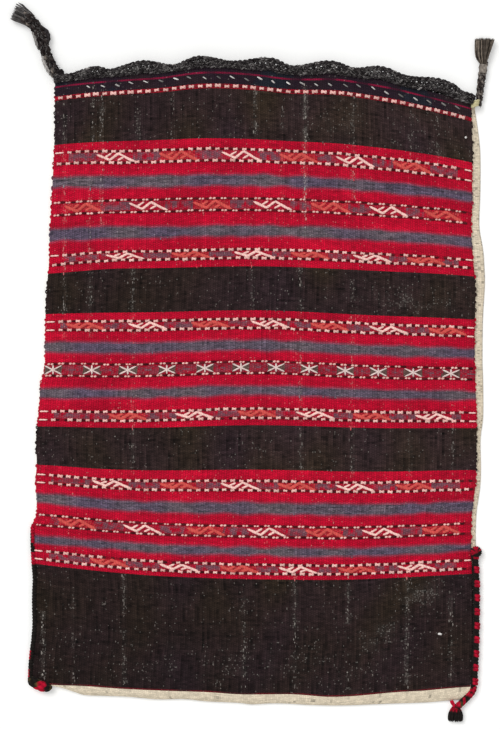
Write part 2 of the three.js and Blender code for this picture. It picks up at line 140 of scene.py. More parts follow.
# Waves of the mouth and of the foot, by x in millimetres
MOUTH_WAVES = (
    (-240, 0), (-200, 0.3), (-160, 1), (-110, 1.5), (-70, -2), (-40, -2), (-5, 0), (20, 2), (42, 1.5),
    (75, -1.7), (105, -1.5), (140, -1), (170, 0), (240, 0),
)
FOOT_WAVES = (
    (-240, 0), (-220, 0), (-180, 1), (-130, 1.5), (-50, 0.8), (-10, 2.2), (40, 1.5), (75, 4),
    (105, 3.2), (140, 0.5), (170, -0.5), (205, -2.5), (240, -3),
)
# How far the weft lines stray down at the left edge, by the distance along the front in millimetres
LEFT_SWAY = (
    (-10, 0), (55, 0), (75, -1.8), (105, -2.2), (128, 1), (155, 0.6), (182, 3.4), (200, 3.2),
    (235, 0.8), (268, -1), (320, 0), (395, -1.5), (425, -1.4), (458, 0), (478, 1.8), (500, 0), (640, 0),
)
# Slight waves in plan: half waves across, half waves along, and drop
PLAN_WAVES = ((0, 3, -1.1 * MM), (2, 3, -1.0 * MM), (4, 1, 0.75 * MM), (0, 1, 0.5 * MM), (1, 6, -0.7 * MM))
# Slight waves in height: waves across, waves along, phase and height
RISE_WAVES = ((1.3, 0.9, 0.4, 0.7 * MM), (2.1, -1.6, 2.0, 0.6 * MM), (0.4, 3.2, 4.1, 0.5 * MM))

# Widths of the cloth's bands in millimetres, from the mouth to the foot
STRIPES = ("red", "brocade", "red", "blue", "red", "brocade", "red", "blue", "red", "brocade", "red")
BANDS = [
    ("hem", 6),
    ("pin", 1.8),
    ("hem", 9.7),
    ("border", 4.5),
    ("dark", 49),
    *zip(STRIPES, (8.5, 15, 11.5, 11.5, 10.7, 15.1, 12.6, 12, 11.2, 11.7, 6.7)),
    ("dark", 44),
    *zip(STRIPES, (6.9, 12.3, 10.1, 11, 9, 15, 10.3, 10.1, 11.7, 12.4, 5.7)),
    ("dark", 44.5),
    *zip(STRIPES, (9.3, 12.7, 10.4, 12, 10, 14.1, 8.2, 9.2, 7, 12.1, 4)),
    ("dark", 112.5),
    ("foot", 1.5),
]
MOUTH = -BANDS[0][1] * MM  # the cloth runs on this far under the edging
FRONT_LENGTH = sum(width for _, width in BANDS) * MM + MOUTH
PLAIN_FOOT = 11 * MM  # of plain cloth between the front's last picks and the fold
CLOTH_LENGTH = FRONT_LENGTH + PLAIN_FOOT
# How light the dark bands are, by the distance along the front in millimetres
DARK_TONES = ((50, 0.97), (235, 0.82), (400, 1.0), (560, 0.66))
DARK_SIDES = ((-80, 0.84), (60, 1.0))  # and by x
BLUR = 2.6 * MM  # reach of the mixed picks at the edges of a blue stripe
Band = namedtuple("Band", "kind start width brocade")
Row = namedtuple("Row", "along lift fold band")

# Brocaded bands from the mouth: kind of dots, first motif, and the middles of its motifs in millimetres
BROCADE = (
    ("bows", "cream", (-138.5, -76, -13.5, 44, 100.5, 157)),
    ("pairs", "orange", (-171, -106, -42, 18, 75.5, 134, 188.5)),
    ("bows", "cream", (-129.5, -63.5, -1, 55.5, 117.5, 171.5)),
    ("bows", "orange", (-169.5, -107, -44, 16, 75, 133.5, 193)),
    ("pairs", "star", (-201, -162, -126, -87, -49, -13, 22, 55, 91, 124, 159, 197)),
    ("bows", "orange", (-127, -60, 2.5, 60.5, 117.5, 179.5)),
    ("bows", "cream", (-143, -75.5, -14.5, 42, 100, 160)),
    ("pairs", "orange", (-177.5, -112, -48.5, 12, 70, 126.5, 186.5)),
    ("bows", "orange", (-145, -75.5, -15, 43.5, 102.5, 162)),
)
DOT_LINE = 1.7 * MM  # distance of a dotted line's middle from the edge of its band
RED_ENDS = 15 * MM  # plain red ground at both ends of a brocaded band
STROKE_SEAT = 0.25  # height of a stroke's middle above the cloth, as a share of the stroke's height
# Yarns of a dotted line: their widths from end to end, half the length of a bow and of a pair of dots
BOW_WIDTHS = np.array((0.95, 0.95, 0.55, 0.95, 0.95)) * 3.3 * MM
DOT_WIDTHS = np.array((0.5, 1, 1, 0.5)) * 2.1 * MM
BROWN_WIDTHS = np.array((0.6, 1, 1, 0.6)) * 2.4 * MM
DASH_WIDTHS = np.array((0.6, 1, 0.7, 1, 0.8, 0.5)) * 1.9 * MM
BROWN_HEIGHT = 0.8 * MM
BOW_HALF = 2.3 * MM
PAIR_HALF = 2.9 * MM
PAIR_GAP = 0.3 * MM
MISSING_DOTS = 0.015  # share of the dots that are worn away
BORDER_STOUT = 1.15  # the border's bows are stouter than the others
# Ends of a dotted line: first and last dot, or a dash from and to, measured from the edges of the front
FIRST_DOT = 6 * MM
LAST_DOT = 5 * MM
LEFT_DASH = (1.5 * MM, 10 * MM)
RIGHT_DASH = (8 * MM, 1 * MM)
DASHED_ENDS = 0.7  # share of the ends of bowed lines that have a dash
# Strokes of the motifs, in shares of their length and height, and how stout each is: a hook has two spurs
HOOK_STROKES = (
    (((-0.52, -0.3), (-0.15, 0.4), (0.09, -0.42), (0.42, 0.36), (0.56, 0.56)), 1.0),
    (((-0.3, 0.1), (-0.1, -0.42)), 0.85),
    (((0.25, 0.0), (0.06, 0.42)), 0.85),
)
HOOK_SHARE = 0.85  # of the free height between the dotted lines
HOOK_MARGIN = 1.5 * MM
ORANGE_STOUT = 1.3  # orange yarn lies wider than the cream
STAR_WIDTH = 17.5 * MM
STAR_HEIGHT = 9.2 * MM
STAR_STROKES = (
    (((0, -0.5), (0, 0.5)), 0.7),
    (((-0.5, -0.45), (0.5, 0.45)), 0.62),
    (((-0.5, 0.45), (0.5, -0.45)), 0.62),
)
RING_STEP = 2.4 * MM  # between the rings of a motif's stroke
HEM_START = 34 * MM  # of the hem's stitches, from the left edge
HEM_END = 10 * MM  # and from the right edge
HEM_SLANT = 1.2 * MM  # of both ends of a stitch
HEM_HEIGHT = 1.2 * MM
HEM_FADE = ((160, 1.0), (185, 0.3))  # they are worn away to the right, by x in millimetres
# Worn warps that show pale: place across in millimetres, from, to along the cloth, and how often
WORN_WARPS = (
    (-190, 20, 260, 0.5), (-161, 0, 70, 0.6), (-152, 8, 150, 0.8), (-164, 100, 260, 0.5),
    (-116, 30, 65, 0.4), (-81, 15, 70, 0.3), (1, 8, 60, 0.7), (28, 10, 130, 0.4), (51, 5, 160, 0.9),
    (99, 15, 120, 0.5), (157, 20, 70, 0.3), (184, 20, 70, 0.3), (-121, 190, 400, 0.5),
    (-2, 190, 250, 0.4), (46, 185, 400, 0.5), (98, 200, 400, 0.4), (156, 340, 400, 0.3),
    (199, 340, 400, 0.3), (-211, 548, 612, 0.9), (-181, 520, 612, 0.3), (-130, 500, 612, 0.4),
    (-10, 520, 612, 0.5), (41, 500, 612, 0.5), (94, 500, 612, 0.6), (153, 500, 612, 0.6),
    (197, 520, 612, 0.5),
)
WORN_REACH = 2.2 * MM  # of the wear on both sides of a worn warp
# Worn patches: middle across and along, reach across and along in millimetres, and how often the warp shows
WORN_PATCHES = (
    (160, 219, 34, 9, 0.3), (126, 563, 14, 13, 0.4), (167, 522, 18, 9, 0.4), (180, 50, 25, 20, 0.12),
    (85, 48, 18, 14, 0.15), (0, 590, 160, 20, 0.06),
)
WORN_ALL_OVER = 0.03
WARP_BIT = (1.2 * MM, 1.5 * MM)  # a bit of warp that shows, across and along
LONE_FLECKS = 400
FLECKS_ACROSS = (-205, 212)  # from and to by x in millimetres
FLECKS_ALONG = (17, 612)  # and along the front
WORN_VEIL = 0.06  # how much of the warp's colour tinges the worn weft
# Bright slubs: place across, along, and length across in millimetres
BRIGHT_SLUBS = ((186, 563, 4), (212, 37, 1.8))
SLUB_WIDTHS = np.array((0.6, 1, 0.9, 0.5)) * 2.6 * MM
SLUB_HEIGHT = 1.4 * MM
# Loops of the weft at the edges of the front: where they end in millimetres, and their heights
TURN_INSIDE = -2.5
TURN_HEIGHTS = np.array((4.4, 3.4, 3.4, 4.4)) * MM

# Twisted yarn: how far its plies lie from its middle, and how thick each is, as shares of its thickness
PLY_OFFSET = 0.24
PLY_SHARE = 0.56
TURN_POINTS = 14  # points on each turn of a wound yarn

# Mouth edging
CLEARANCE = 0.3 * MM
EDGING_POINTS = 360
EDGING_HEIGHT = 14 * MM
EDGING_THICKNESS = 5.6 * MM
EDGING_SEAT = 2.6 * MM  # the hem shows this far above the pin line
EDGING_TONE = 1.3  # its felted hair is paler than the ties'
BACK_EDGING_HEIGHT = 11 * MM
BACK_EDGING_THICKNESS = 4.2 * MM
# How far the front edging stands out from the mouth, by x in millimetres
EDGING_REACH = (
    (-220, 13), (-200, 13), (-182, 11.2), (-158, 16), (-142, 11.8), (-110, 18.2), (-78, 11),
    (-54, 16.3), (-22, 11.5), (14, 18.4), (38, 13), (74, 18), (98, 13.4), (124, 19.4), (148, 15.5),
    (178, 20), (194, 19), (205, 14.5), (240, 14),
)

# Ties: routes in millimetres from where they leave the edging
TIE_SEAT = 0.42  # height of a tie's middle, as a share of its diameter
LEFT_TIE_DIAMETER = 11.8 * MM
LEFT_TIE_SHIFT = 0.5 * MM
LEFT_TIE_ROUTE = (
    (0, -5), (-0.5, 0), (-3, 5), (-8, 15), (-12, 27), (-15.2, 38), (-20.5, 46), (-27, 52), (-33, 55),
)
# Loose plies of the left tie, in millimetres
PALE_PLY = ((-203, 314, 4), (-206.5, 320, 6), (-210, 328, 6.5), (-212.5, 336, 5))
UPPER_PLY = ((-215.5, 340, 4), (-217.6, 346, 6), (-219.6, 353, 6), (-222.5, 359, 5))
SLACK_LOOP = ((-212, 363, 4), (-207.5, 358.5, 4.5), (-205.8, 352, 4.5), (-207.5, 345, 4))
BASE_LUMP = ((-198, 316, 6), (-194.5, 318, 7), (-190.5, 315.5, 6))
PLY_THICKNESS = 4.6 * MM
UPPER_PLY_THICKNESS = 3.6 * MM
LUMP_THICKNESS = 7 * MM
# Left tassel: its locks and their thickness, both sides of its root and of its tips in millimetres,
# and the same of a wisp along its upper side
TASSEL_LOCKS = 100
TASSEL_LOCK = 1.5 * MM
TASSEL_ROOT = ((-219.5, 374.5), (-225.5, 363.5))
TASSEL_TIPS = ((-237.5, 386.0), (-243.8, 371.0))
WISP_LOCKS = 12
WISP_ROOT = (-221.0, 374.5)
WISP_TIPS = ((-236.4, 388.0), (-232.4, 386.4))
RIGHT_TIE_DIAMETER = 8.3 * MM
RIGHT_TIE_SEAT = 0.3  # height of its foot on the edging, as a share
RIGHT_TIE_ROUTE = ((0.8, 0), (1.8, 6.7), (2.8, 15), (4, 25), (5.4, 34), (6.2, 42), (6.8, 50))
WARM_TINGE = np.array((1.1, 1.0, 0.9))  # the ties' hair is browner than the edging's
WRAP_START = 33 * MM
WRAP_END = 41.5 * MM
WRAP_DIAMETER = 7.8 * MM
WRAP_TURNS = 7
WRAP_THREAD = 1.6 * MM
# Right tassel: its locks and their thickness, and in millimetres half its width at the root and at the
# tips, its lean to the right and its length
FAN_LOCKS = 150
FAN_LOCK = 1.1 * MM
FAN_ROOT = 1.8
FAN_SPREAD = 9.8
FAN_LEAN = 1.4
FAN_LENGTH = 27.6
FAN_SEAT = 1 * MM  # of its roots inside the wrapping
# Loops of the yarn that ties the right tie on: half of each loop's turn in radians, the middle of the first
# from the tie's foot and the step to the next in millimetres, and their size
KNOT_TURNS = (1.5, 2.1, 2.2, 1.6)
KNOT_FIRST = np.array((-3.6, -1.2, 2.0))
KNOT_STEP = np.array((0.3, 1.7, 0))
KNOT_RADIUS = 3.2 * MM
KNOT_POINTS = 12

# Side bindings
LEFT_BINDING_WIDTH = 5.2 * MM
RIGHT_BINDING_WIDTH = 7.8 * MM
BINDING_HEIGHT = 7.2 * MM
LEFT_BINDING_START = 462 * MM
RIGHT_BINDING_START = 478 * MM
LEFT_TURN = 3.1 * MM  # one turn of the left binding's yarn
RIGHT_TURN = 3.5 * MM
BINDING_YARN = 2.2 * MM
BINDING_STOPS = 12  # places where a binding's line is taken from the cloth's
RIGHT_BINDING_OUT = 0.7  # place of the right binding's middle on the plain strip, as a share
# How far the right binding strays from the cloth's outer line, by the distance along in millimetres
RIGHT_STRAY = ((440, 0), (560, 0.2), (590, -0.4), (610, -1), (640, -2))
# The left binding's knot and the right binding's tail, in millimetres from where the bindings end
KNOT_ROUTE = ((-0.3, 7), (2.6, 1.8), (8.5, -1.8), (15, -4), (22, -4.4))
KNOT_DIAMETER = 10.5 * MM
TAIL_ROUTE = ((-2.4, -6), (-10, -14), (-18.5, -22))
TAIL_DIAMETER = 7 * MM
TAIL_REDNESS = 0.4
# Red wool in the left binding, in millimetres from its start: from, to, and the side that is red
LEFT_RED = ((0, 8, "both"), (8, 20, "inner"), (28, 40, "both"), (125, 136, "outer"), (146, 156, "outer"))
RED_STITCH = 6.5  # first red stitch of the right binding, in millimetres from its start
RED_SHARE = 0.23  # half the length of a red stitch, as a share of the pitch
# Ball of yarn where the right binding begins: its middle from there in millimetres, and its rings
KNOB_SHIFT = np.array((1.2, -2.5, 1.0))
KNOB_RADIUS = 4.6 * MM
KNOB_RINGS = 8
# Tuft at the tail's end: its locks and their thickness, and in millimetres half its width at the root and
# at the tips, and its length
TUFT_LOCKS = 44
TUFT_LOCK = 1.9 * MM
TUFT_ROOT = 3.0
TUFT_SPREAD = 7.0
TUFT_LENGTH = 13.4
TUFT_STUBS = ((-5.5, 8, 0), (-4, 9, 1))  # ends of two short red yarns
STUB_THICKNESS = 3 * MM


def linear(code):
    """Linear colour of an sRGB hex value."""
    parts = [int(code[place : place + 2], 16) / 255 for place in (1, 3, 5)]
    return tuple(c / 12.92 if c <= 0.04045 else ((c + 0.055) / 1.055) ** 2.4 for c in parts)


def colour(name, description, code):
    """A colour that a user can change."""
    return FloatVectorProperty(
        name=name, description=description, subtype="COLOR", size=3, min=0, max=1, default=linear(code)
    )


def length(name, description, millimetres):
    """A length that a user can change."""
    return FloatProperty(
        name=name, description=description, unit="LENGTH", precision=4, min=0, default=millimetres * MM
    )


class FEEDBAG_PG_cloth(bpy.types.PropertyGroup):
    """Sizes and colours of the woven cloth."""

    warp_spacing: length("Warp spacing", "Distance from one warp rib to the next", 2.4)
    row_spacing: length("Row spacing", "Largest distance between two rows of the cloth's mesh", 3.1)
    dark: colour("Dark bands", "Undyed brown-black wool", "#342625")
    dark_green: colour("Dark green cast", "Where the dark wool leans to green", "#33281f")
    dark_plum: colour("Dark plum cast", "Where the dark wool leans to plum", "#332529")
    red: colour("Red stripes", "Madder red wool", "#b6082b")
    bright_red: colour("Bright red", "Where the red wool took more dye", "#c90c30")
    blue: colour("Blue stripes", "Slate blue wool", "#64566b")
    grey_blue: colour("Grey in the blue", "Where the blue wool has faded", "#6f626a")
    plum: colour("Stripe edges", "Where blue and red wefts mix", "#9b354c")
    navy: colour("Hem", "Navy wool below the edging", "#231826")
    teal: colour("Hem patches", "Where the hem's wool leans to green", "#1d2a30")
    pin: colour("Pin line", "Thin crimson line in the hem", "#8c163b")
    foot_line: colour("Foot line", "Last picks above the fold", "#641a20")
    cream: colour("Back", "Undyed plain-woven wool", "#dfd1b9")


class FEEDBAG_PG_brocade(bpy.types.PropertyGroup):
    """Sizes and colours of the brocade and the stitches on the cloth."""

    bow_pitch: length("Bow pitch", "Distance from one bow to the next in a dotted line", 8.7)
    pair_pitch: length("Pair pitch", "Distance from one pair of dots to the next", 11.2)
    hook_length: length("Hook length", "A hook motif across the cloth", 36)
    stroke_width: length("Stroke width", "Brocade yarn as it lies", 2.8)
    stroke_height: length("Stroke height", "How far brocade yarn stands on the cloth", 1.1)
    hem_pitch: length("Hem stitch pitch", "Distance between the slanted hem stitches", 14.4)
    cream: colour("Cream yarn", "Dots and pale hooks", "#f5c6bd")
    orange: colour("Orange yarn", "Bright hooks", "#cd514c")
    star: colour("Star yarn", "Pale stars", "#e0cac4")
    thread: colour("Hem thread", "White sewing thread", "#dedad6")
    dot_ground: colour("Dot ground", "Brown wool between the dots", "#49151a")
    speckle: colour("Speckle", "Plum-grey wool between the motifs", "#81515e")
    star_ground: colour("Star ground", "Grey-brown wool behind the stars", "#6b5850")
    worn: colour("Worn warp", "Pale warp that shows through worn weft", "#d8d2c8")


class FEEDBAG_PG_yarn(bpy.types.PropertyGroup):
    """Sizes and colours of the edging, ties and bindings."""

    edging_strand: length("Edging strand", "Thickness of a strand of the braided edging", 3.4)
    edging_period: length("Edging braid", "Length of one full turn of the edging's braid", 36)
    plait_period: length("Tie plait", "Length of one full turn of a tie's plait", 21)
    red_pitch: length("Red stitch pitch", "Distance between the right binding's red stitches", 14)
    charcoal: colour("Charcoal hair", "Dark ply of the marled yarn", "#1d191a")
    grey: colour("Grey hair", "Middle ply of the marled yarn", "#3d393a")
    pale: colour("Pale hair", "Pale ply of the marled yarn", "#979390")
    brown: colour("Brown hair", "Bleached hair of the right tassel", "#8a7d70")
    thread: colour("Wrapping thread", "Pale thread round the right tie", "#968d84")
    knot: colour("Knot yarn", "Cream yarn at the foot of the right tie", "#c9c098")
    black: colour("Black wool", "Binding yarn", "#1d1917")
    red: colour("Red wool", "Second binding yarn", "#b3112e")
    olive: colour("Olive wool", "Bits of old yarn in the corner knot", "#4d4127")


class FEEDBAG_PG_stage(bpy.types.PropertyGroup):
    """Floor, light and camera."""

    floor: colour("Floor", "White paper floor", "#f2f2f1")
    camera_height: length("Camera height", "Height of the camera above the floor", 2033)


class FEEDBAG_PG_settings(bpy.types.PropertyGroup):
    """All settings of the feed bag."""

    cloth: PointerProperty(type=FEEDBAG_PG_cloth)
    brocade: PointerProperty(type=FEEDBAG_PG_brocade)
    yarn: PointerProperty(type=FEEDBAG_PG_yarn)
    stage: PointerProperty(type=FEEDBAG_PG_stage)


def mix(first, second, share):
    """Value or colour between two others."""
    return np.asarray(first) + (np.asarray(second) - np.asarray(first)) * share


def smooth_step(value, start, end):
    """0 before the start, 1 after the end, and a smooth rise between."""
    share = np.clip((np.asarray(value) - start) / (end - start), 0, 1)
    return share * share * (3 - 2 * share)


def profile(stops):
    """A smooth line through stops that are given in millimetres."""
    table = smooth_line([(place * MM, value * MM, 0) for place, value in stops], 1 * MM)
    return lambda place: np.interp(place, table[:, 0], table[:, 1])


def weft_drop(across, along):
    """How far a weft line lies below its middle."""
    across, share = np.asarray(across, float), np.asarray(along) / FRONT_LENGTH
    towards_mouth = np.maximum(1 - share, 0) ** 3
    towards_foot = smooth_step(along, SAG_START, SAG_END)
    edge = MOUTH_ARCH * towards_mouth - FOOT_SAG * towards_foot
    droop = MOUTH_DROOP * towards_mouth + FOOT_DROOP * towards_foot
    drop = edge * (2 * across - 1) ** 2 + droop * (across**3 - 0.5**3)
    drop = drop - WEFT_RIPPLE * np.cos(4 * np.pi * across) * np.sin(np.pi * share)
    for waves_across, waves_along, depth in PLAN_WAVES:
        drop = drop + depth * np.cos(waves_across * np.pi * across) * np.sin(waves_along * np.pi * share)
    corner = CORNER_DROP * (1 - smooth_step(across, 0, CORNER_REACH))
    corner = corner * smooth_step(along, CORNER_START, FRONT_LENGTH)
    sway = left_sway(along) * (1 - smooth_step(across, 0, SWAY_REACH))
    x = (across - 0.5) * FOOT_WIDTH
    near_mouth, near_foot = np.maximum(1 - share, 0), np.maximum(share, 0)
    waves = mouth_wave(x) * near_mouth**WAVE_FADE + foot_wave(x) * near_foot**WAVE_FADE
    return drop + corner + sway + waves


def weft_height(across, along):
    """Place of a weft line in plan, as y."""
    return CLOTH_LENGTH / 2 - along - weft_drop(across, along)


def front_rise(across, along):
    """Height of the front's face, which swells over the pocket in slight waves and closes at the fold."""
    across = np.clip(across, 0, 1)
    swell = (4 * across * (1 - across)) ** PILLOW * np.tanh((CLOTH_LENGTH - np.asarray(along)) / FOLD_REACH)
    waves = 0
    for waves_across, waves_along, phase, height in RISE_WAVES:
        turn = waves_across * across + waves_along * np.asarray(along) / FRONT_LENGTH
        waves = waves + height * np.sin(2 * np.pi * turn + phase)
    return BACK_THICKNESS + FRONT_THICKNESS + (POCKET_RISE + waves) * swell


def on_front(across, along, lift=0.0):
    """Points of the front's face."""
    across, along = np.broadcast_arrays(np.asarray(across, float), np.asarray(along, float))
    x = mix(left_edge(along), right_edge(along), across)
    return np.stack([x, weft_height(across, along), front_rise(across, along) + lift], axis=-1)


def across_at(x, along):
    """Share across the front of a place that is given by its x."""
    return (np.asarray(x) - left_edge(along)) / (right_edge(along) - left_edge(along))


def unit(vectors):
    """Vectors of the same directions and of length 1."""
    return vectors / np.linalg.norm(vectors, axis=-1, keepdims=True)


def smooth_line(points, step):
    """A line through the points, rounded between them, with evenly spaced points."""
    points = np.asarray(points, float)
    padded = np.vstack([2 * points[0] - points[1], points, 2 * points[-1] - points[-2]])
    share = np.linspace(0, 1, CURVE_STEPS, endpoint=False)[:, None]
    runs = []
    for before, start, end, after in zip(padded, padded[1:], padded[2:], padded[3:]):
        bend = 2 * before - 5 * start + 4 * end - after
        twist = 3 * start - before - 3 * end + after
        runs.append(start + 0.5 * ((end - before) * share + bend * share**2 + twist * share**3))
    line = np.vstack([*runs, points[-1:]])
    run = run_of(line)
    return between(np.linspace(0, run[-1], max(round(run[-1] / step), 2) + 1), run, line)


def run_of(line):
    """Distance of each point of a line from its start."""
    return np.concatenate([[0], np.cumsum(np.linalg.norm(np.diff(line, axis=0), axis=1))])


def between(places, stops, values):
    """Points or colours at places between stops."""
    return np.stack([np.interp(places, stops, part) for part in np.transpose(values)], axis=-1)


def ramp(place, stops):
    """Value at a place between stops whose places are given in millimetres."""
    return np.interp(place / MM, *zip(*stops))


def ways(line, normal=(0, 0, 1)):
    """The ways ahead, aside and above at each point of a line."""
    ahead = unit(np.gradient(line, axis=0))
    aside = unit(np.cross(ahead, normal))
    return ahead, aside, np.cross(aside, ahead)


left_edge, right_edge, side_show = profile(LEFT_EDGE), profile(RIGHT_EDGE), profile(SIDE_SHOW)
left_sway = profile(LEFT_SWAY)
foot_show_at, mouth_wave, foot_wave = profile(FOOT_SHOW), profile(MOUTH_WAVES), profile(FOOT_WAVES)


def foot_show(across):
    """Height of the plain cloth that shows at the foot."""
    return foot_show_at((np.asarray(across) - 0.5) * FOOT_WIDTH)


def rounded(count, share=0.5):
    """Section sizes along a yarn with rounded ends, as shares."""
    ends = np.minimum(np.linspace(0, 1, count), np.linspace(1, 0, count)) / share
    return np.sqrt(1 - (1 - np.clip(ends, 0.02, 1)) ** 2)


def quads(grid):
    """Corners of the cells of a grid, each cell's corners in turn."""
    return np.stack([grid[:-1, :-1], grid[1:, :-1], grid[1:, 1:], grid[:-1, 1:]], axis=2)


def make_piece(name, points, faces, colours, places, materials, kinds=None, wear=None):
    """A mesh with a yarn colour and a place on the weave or round the yarn for each corner of its faces.

    Cloth also has a kind of weave and the wear for each face.
    """
    mesh = bpy.data.meshes.new(name)
    mesh.from_pydata(points.tolist(), [], faces)
    if len(mesh.polygons) != len(faces):
        raise RuntimeError(f"{name} lost faces")
    shades = np.concatenate([colours, np.ones((len(colours), 1))], axis=1)
    mesh.color_attributes.new("yarn", "FLOAT_COLOR", "CORNER").data.foreach_set("color", shades.ravel())
    mesh.uv_layers.new(name="place").data.foreach_set("uv", places.ravel())
    for material in materials:
        mesh.materials.append(material)
    if kinds is not None:
        mesh.polygons.foreach_set("material_index", kinds)
        mesh.attributes.new("wear", "FLOAT", "FACE").data.foreach_set("value", wear)
    mesh.shade_smooth()
    mesh.update()
    piece = bpy.data.objects.new(name, mesh)
    bpy.context.scene.collection.objects.link(piece)
    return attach(piece, "root")


class Skein:
    """Collects yarns as closed tubes, to make one piece of them."""

    def __init__(self):
        self.points, self.faces, self.colours, self.places = [], [], [], []
        self.count = 0

    def lay(self, line, width, height, shade, sides=6, normal=(0, 0, 1)):
        """Lays one yarn along a line. Its width lies across the normal and its height along it."""
        line = np.asarray(line, float)
        rings = len(line)
        _, aside, above = ways(line, normal)
        turn = 2 * np.pi * (np.arange(sides) + 0.5) / sides
        width = np.broadcast_to(width, rings)[:, None, None] / 2
        height = np.broadcast_to(height, rings)[:, None, None] / 2
        across = aside[:, None] * np.cos(turn)[:, None] * width
        upward = above[:, None] * np.sin(turn)[:, None] * height
        self.points.append((line[:, None] + across + upward).reshape(-1, 3))
        ring = np.arange(rings)[:, None] * sides
        side = np.append(np.arange(sides), 0)
        tube = quads(ring + side).reshape(-1, 4)
        fold = np.arange(sides // 2 - 1)
        cap = np.stack([fold, fold + 1, sides - 2 - fold, sides - 1 - fold], axis=-1)
        faces = np.vstack([tube, cap, cap[:, ::-1] + (rings - 1) * sides])
        self.faces.append(faces + self.count)
        self.count += rings * sides
        shades = np.broadcast_to(shade, (rings, 3))
        self.colours.append(shades[faces // sides].reshape(-1, 3))
        round_share, run = np.meshgrid(np.arange(sides + 1) / sides, run_of(line))
        tube_places = quads(np.stack([round_share, run], axis=-1)).reshape(-1, 2)
        self.places.append(np.vstack([tube_places, np.zeros((8 * len(cap), 2))]))

    def make(self, name, material):
        """Makes one piece of all the yarns."""
        return make_piece(
            name,
            np.vstack(self.points),
            np.vstack(self.faces).tolist(),
            np.vstack(self.colours),
            np.vstack(self.places),
            [material],
        )


class Patchwork:
    """Collects patches of cloth that share points, to make one closed skin of them."""

    def __init__(self):
        self.points, self.faces, self.colours, self.places = [], [], [], []
        self.kinds, self.wear = [], []
        self.count = 0

    def number(self, points, joined=None):
        """Adds a grid of points and numbers them. Those that are joined have their numbers already."""
        numbers = np.full(points.shape[:2], -1) if joined is None else joined.copy()
        fresh = numbers < 0
        numbers[fresh] = self.count + np.arange(fresh.sum())
        self.points.append(points[fresh])
        self.count += fresh.sum()
        return numbers

    def sew(self, numbers, places, shades, kinds, wear=0.0, flip=False):
        """Adds the faces of a grid, with a shade, a kind of weave and the wear for each."""
        cells, spots = quads(numbers).reshape(-1, 4), quads(places).reshape(-1, 4, 2)
        if flip:
            cells, spots = cells[:, ::-1], spots[:, ::-1]
        self.faces += cells.tolist()
        self.places.append(spots.reshape(-1, 2))
        self.colours.append(np.repeat(np.broadcast_to(shades, (len(cells), 3)), 4, axis=0))
        self.kinds.append(np.broadcast_to(kinds, len(cells)))
        self.wear.append(np.broadcast_to(wear, len(cells)))

    def join(self, many, few, many_places, few_places, steps, shade, kind, flip=False):
        """Joins a row of many points to a row of few. The steps are the few's places among the many."""
        order = -1 if flip else 1
        for place, (start, end) in enumerate(zip(steps, steps[1:])):
            face = [*many[start : end + 1], few[place + 1], few[place]]
            spots = np.vstack([many_places[start : end + 1], few_places[[place + 1, place]]])
            self.faces.append([int(number) for number in face][::order])
            self.places.append(spots[::order])
            self.colours.append(np.tile(shade, (len(face), 1)))
            self.kinds.append([kind])
            self.wear.append([0.0])

    def make(self, name, materials):
        """Makes one piece of all the patches."""
        return make_piece(
            name,
            np.vstack(self.points),
            self.faces,
            np.vstack(self.colours),
            np.vstack(self.places),
            materials,
            np.concatenate(self.kinds).astype(int),
            np.concatenate(self.wear),
        )


def add_node(tree, kind, inputs=(), **settings):
    """Adds a node with its settings, and gives each named input a value or a link."""
    node = tree.nodes.new(kind)
    for name, value in settings.items():
        setattr(node, name, value)
    for name, value in dict(inputs).items():
        if isinstance(value, bpy.types.NodeSocket):
            tree.links.new(value, node.inputs[name])
        else:
            node.inputs[name].default_value = value
    return node


def new_material(name):
    """An empty node material and its node tree."""
    material = bpy.data.materials.new(name)
    material.use_nodes = True
    material.node_tree.nodes.clear()
    return material, material.node_tree


def calculate(tree, operation, *values):
    """Result of a calculation with values or sockets."""
    return add_node(tree, "ShaderNodeMath", dict(enumerate(values)), operation=operation).outputs["Value"]


def rescale(tree, value, before, after):
    """A value that is moved from one range to another and kept inside it."""
    ends = {"From Min": before[0], "From Max": before[1], "To Min": after[0], "To Max": after[1]}
    return add_node(tree, "ShaderNodeMapRange", {"Value": value, **ends}).outputs["Result"]


def streaks(tree, place, scale, detail):
    """Uneven streaks, with a scale for each way of the weave or the yarn."""
    stretched = add_node(tree, "ShaderNodeMapping", {"Vector": place, "Scale": scale})
    uneven = {"Vector": stretched.outputs["Vector"], "Scale": 1.0, "Detail": detail}
    return add_node(tree, "ShaderNodeTexNoise", uneven).outputs["Fac"]


def dull_surface(tree, shade, fibres, smoothest, height, relief, depth, sheen, sheen_roughness):
    """Ends a wool material: raised by a height, uneven in roughness, and with hardly any sheen."""
    bump = add_node(tree, "ShaderNodeBump", {"Height": height, "Strength": relief, "Distance": depth})
    wool = add_node(
        tree,
        "ShaderNodeBsdfPrincipled",
        {
            "Base Color": shade,
            "Roughness": rescale(tree, fibres, (0, 1), (smoothest, 0.98)),
            "Normal": bump.outputs["Normal"],
            "Specular IOR Level": 0.06,
            "Sheen Weight": sheen,
            "Sheen Roughness": sheen_roughness,
        },
    )
    add_node(tree, "ShaderNodeOutputMaterial", {"Surface": wool.outputs["BSDF"]})


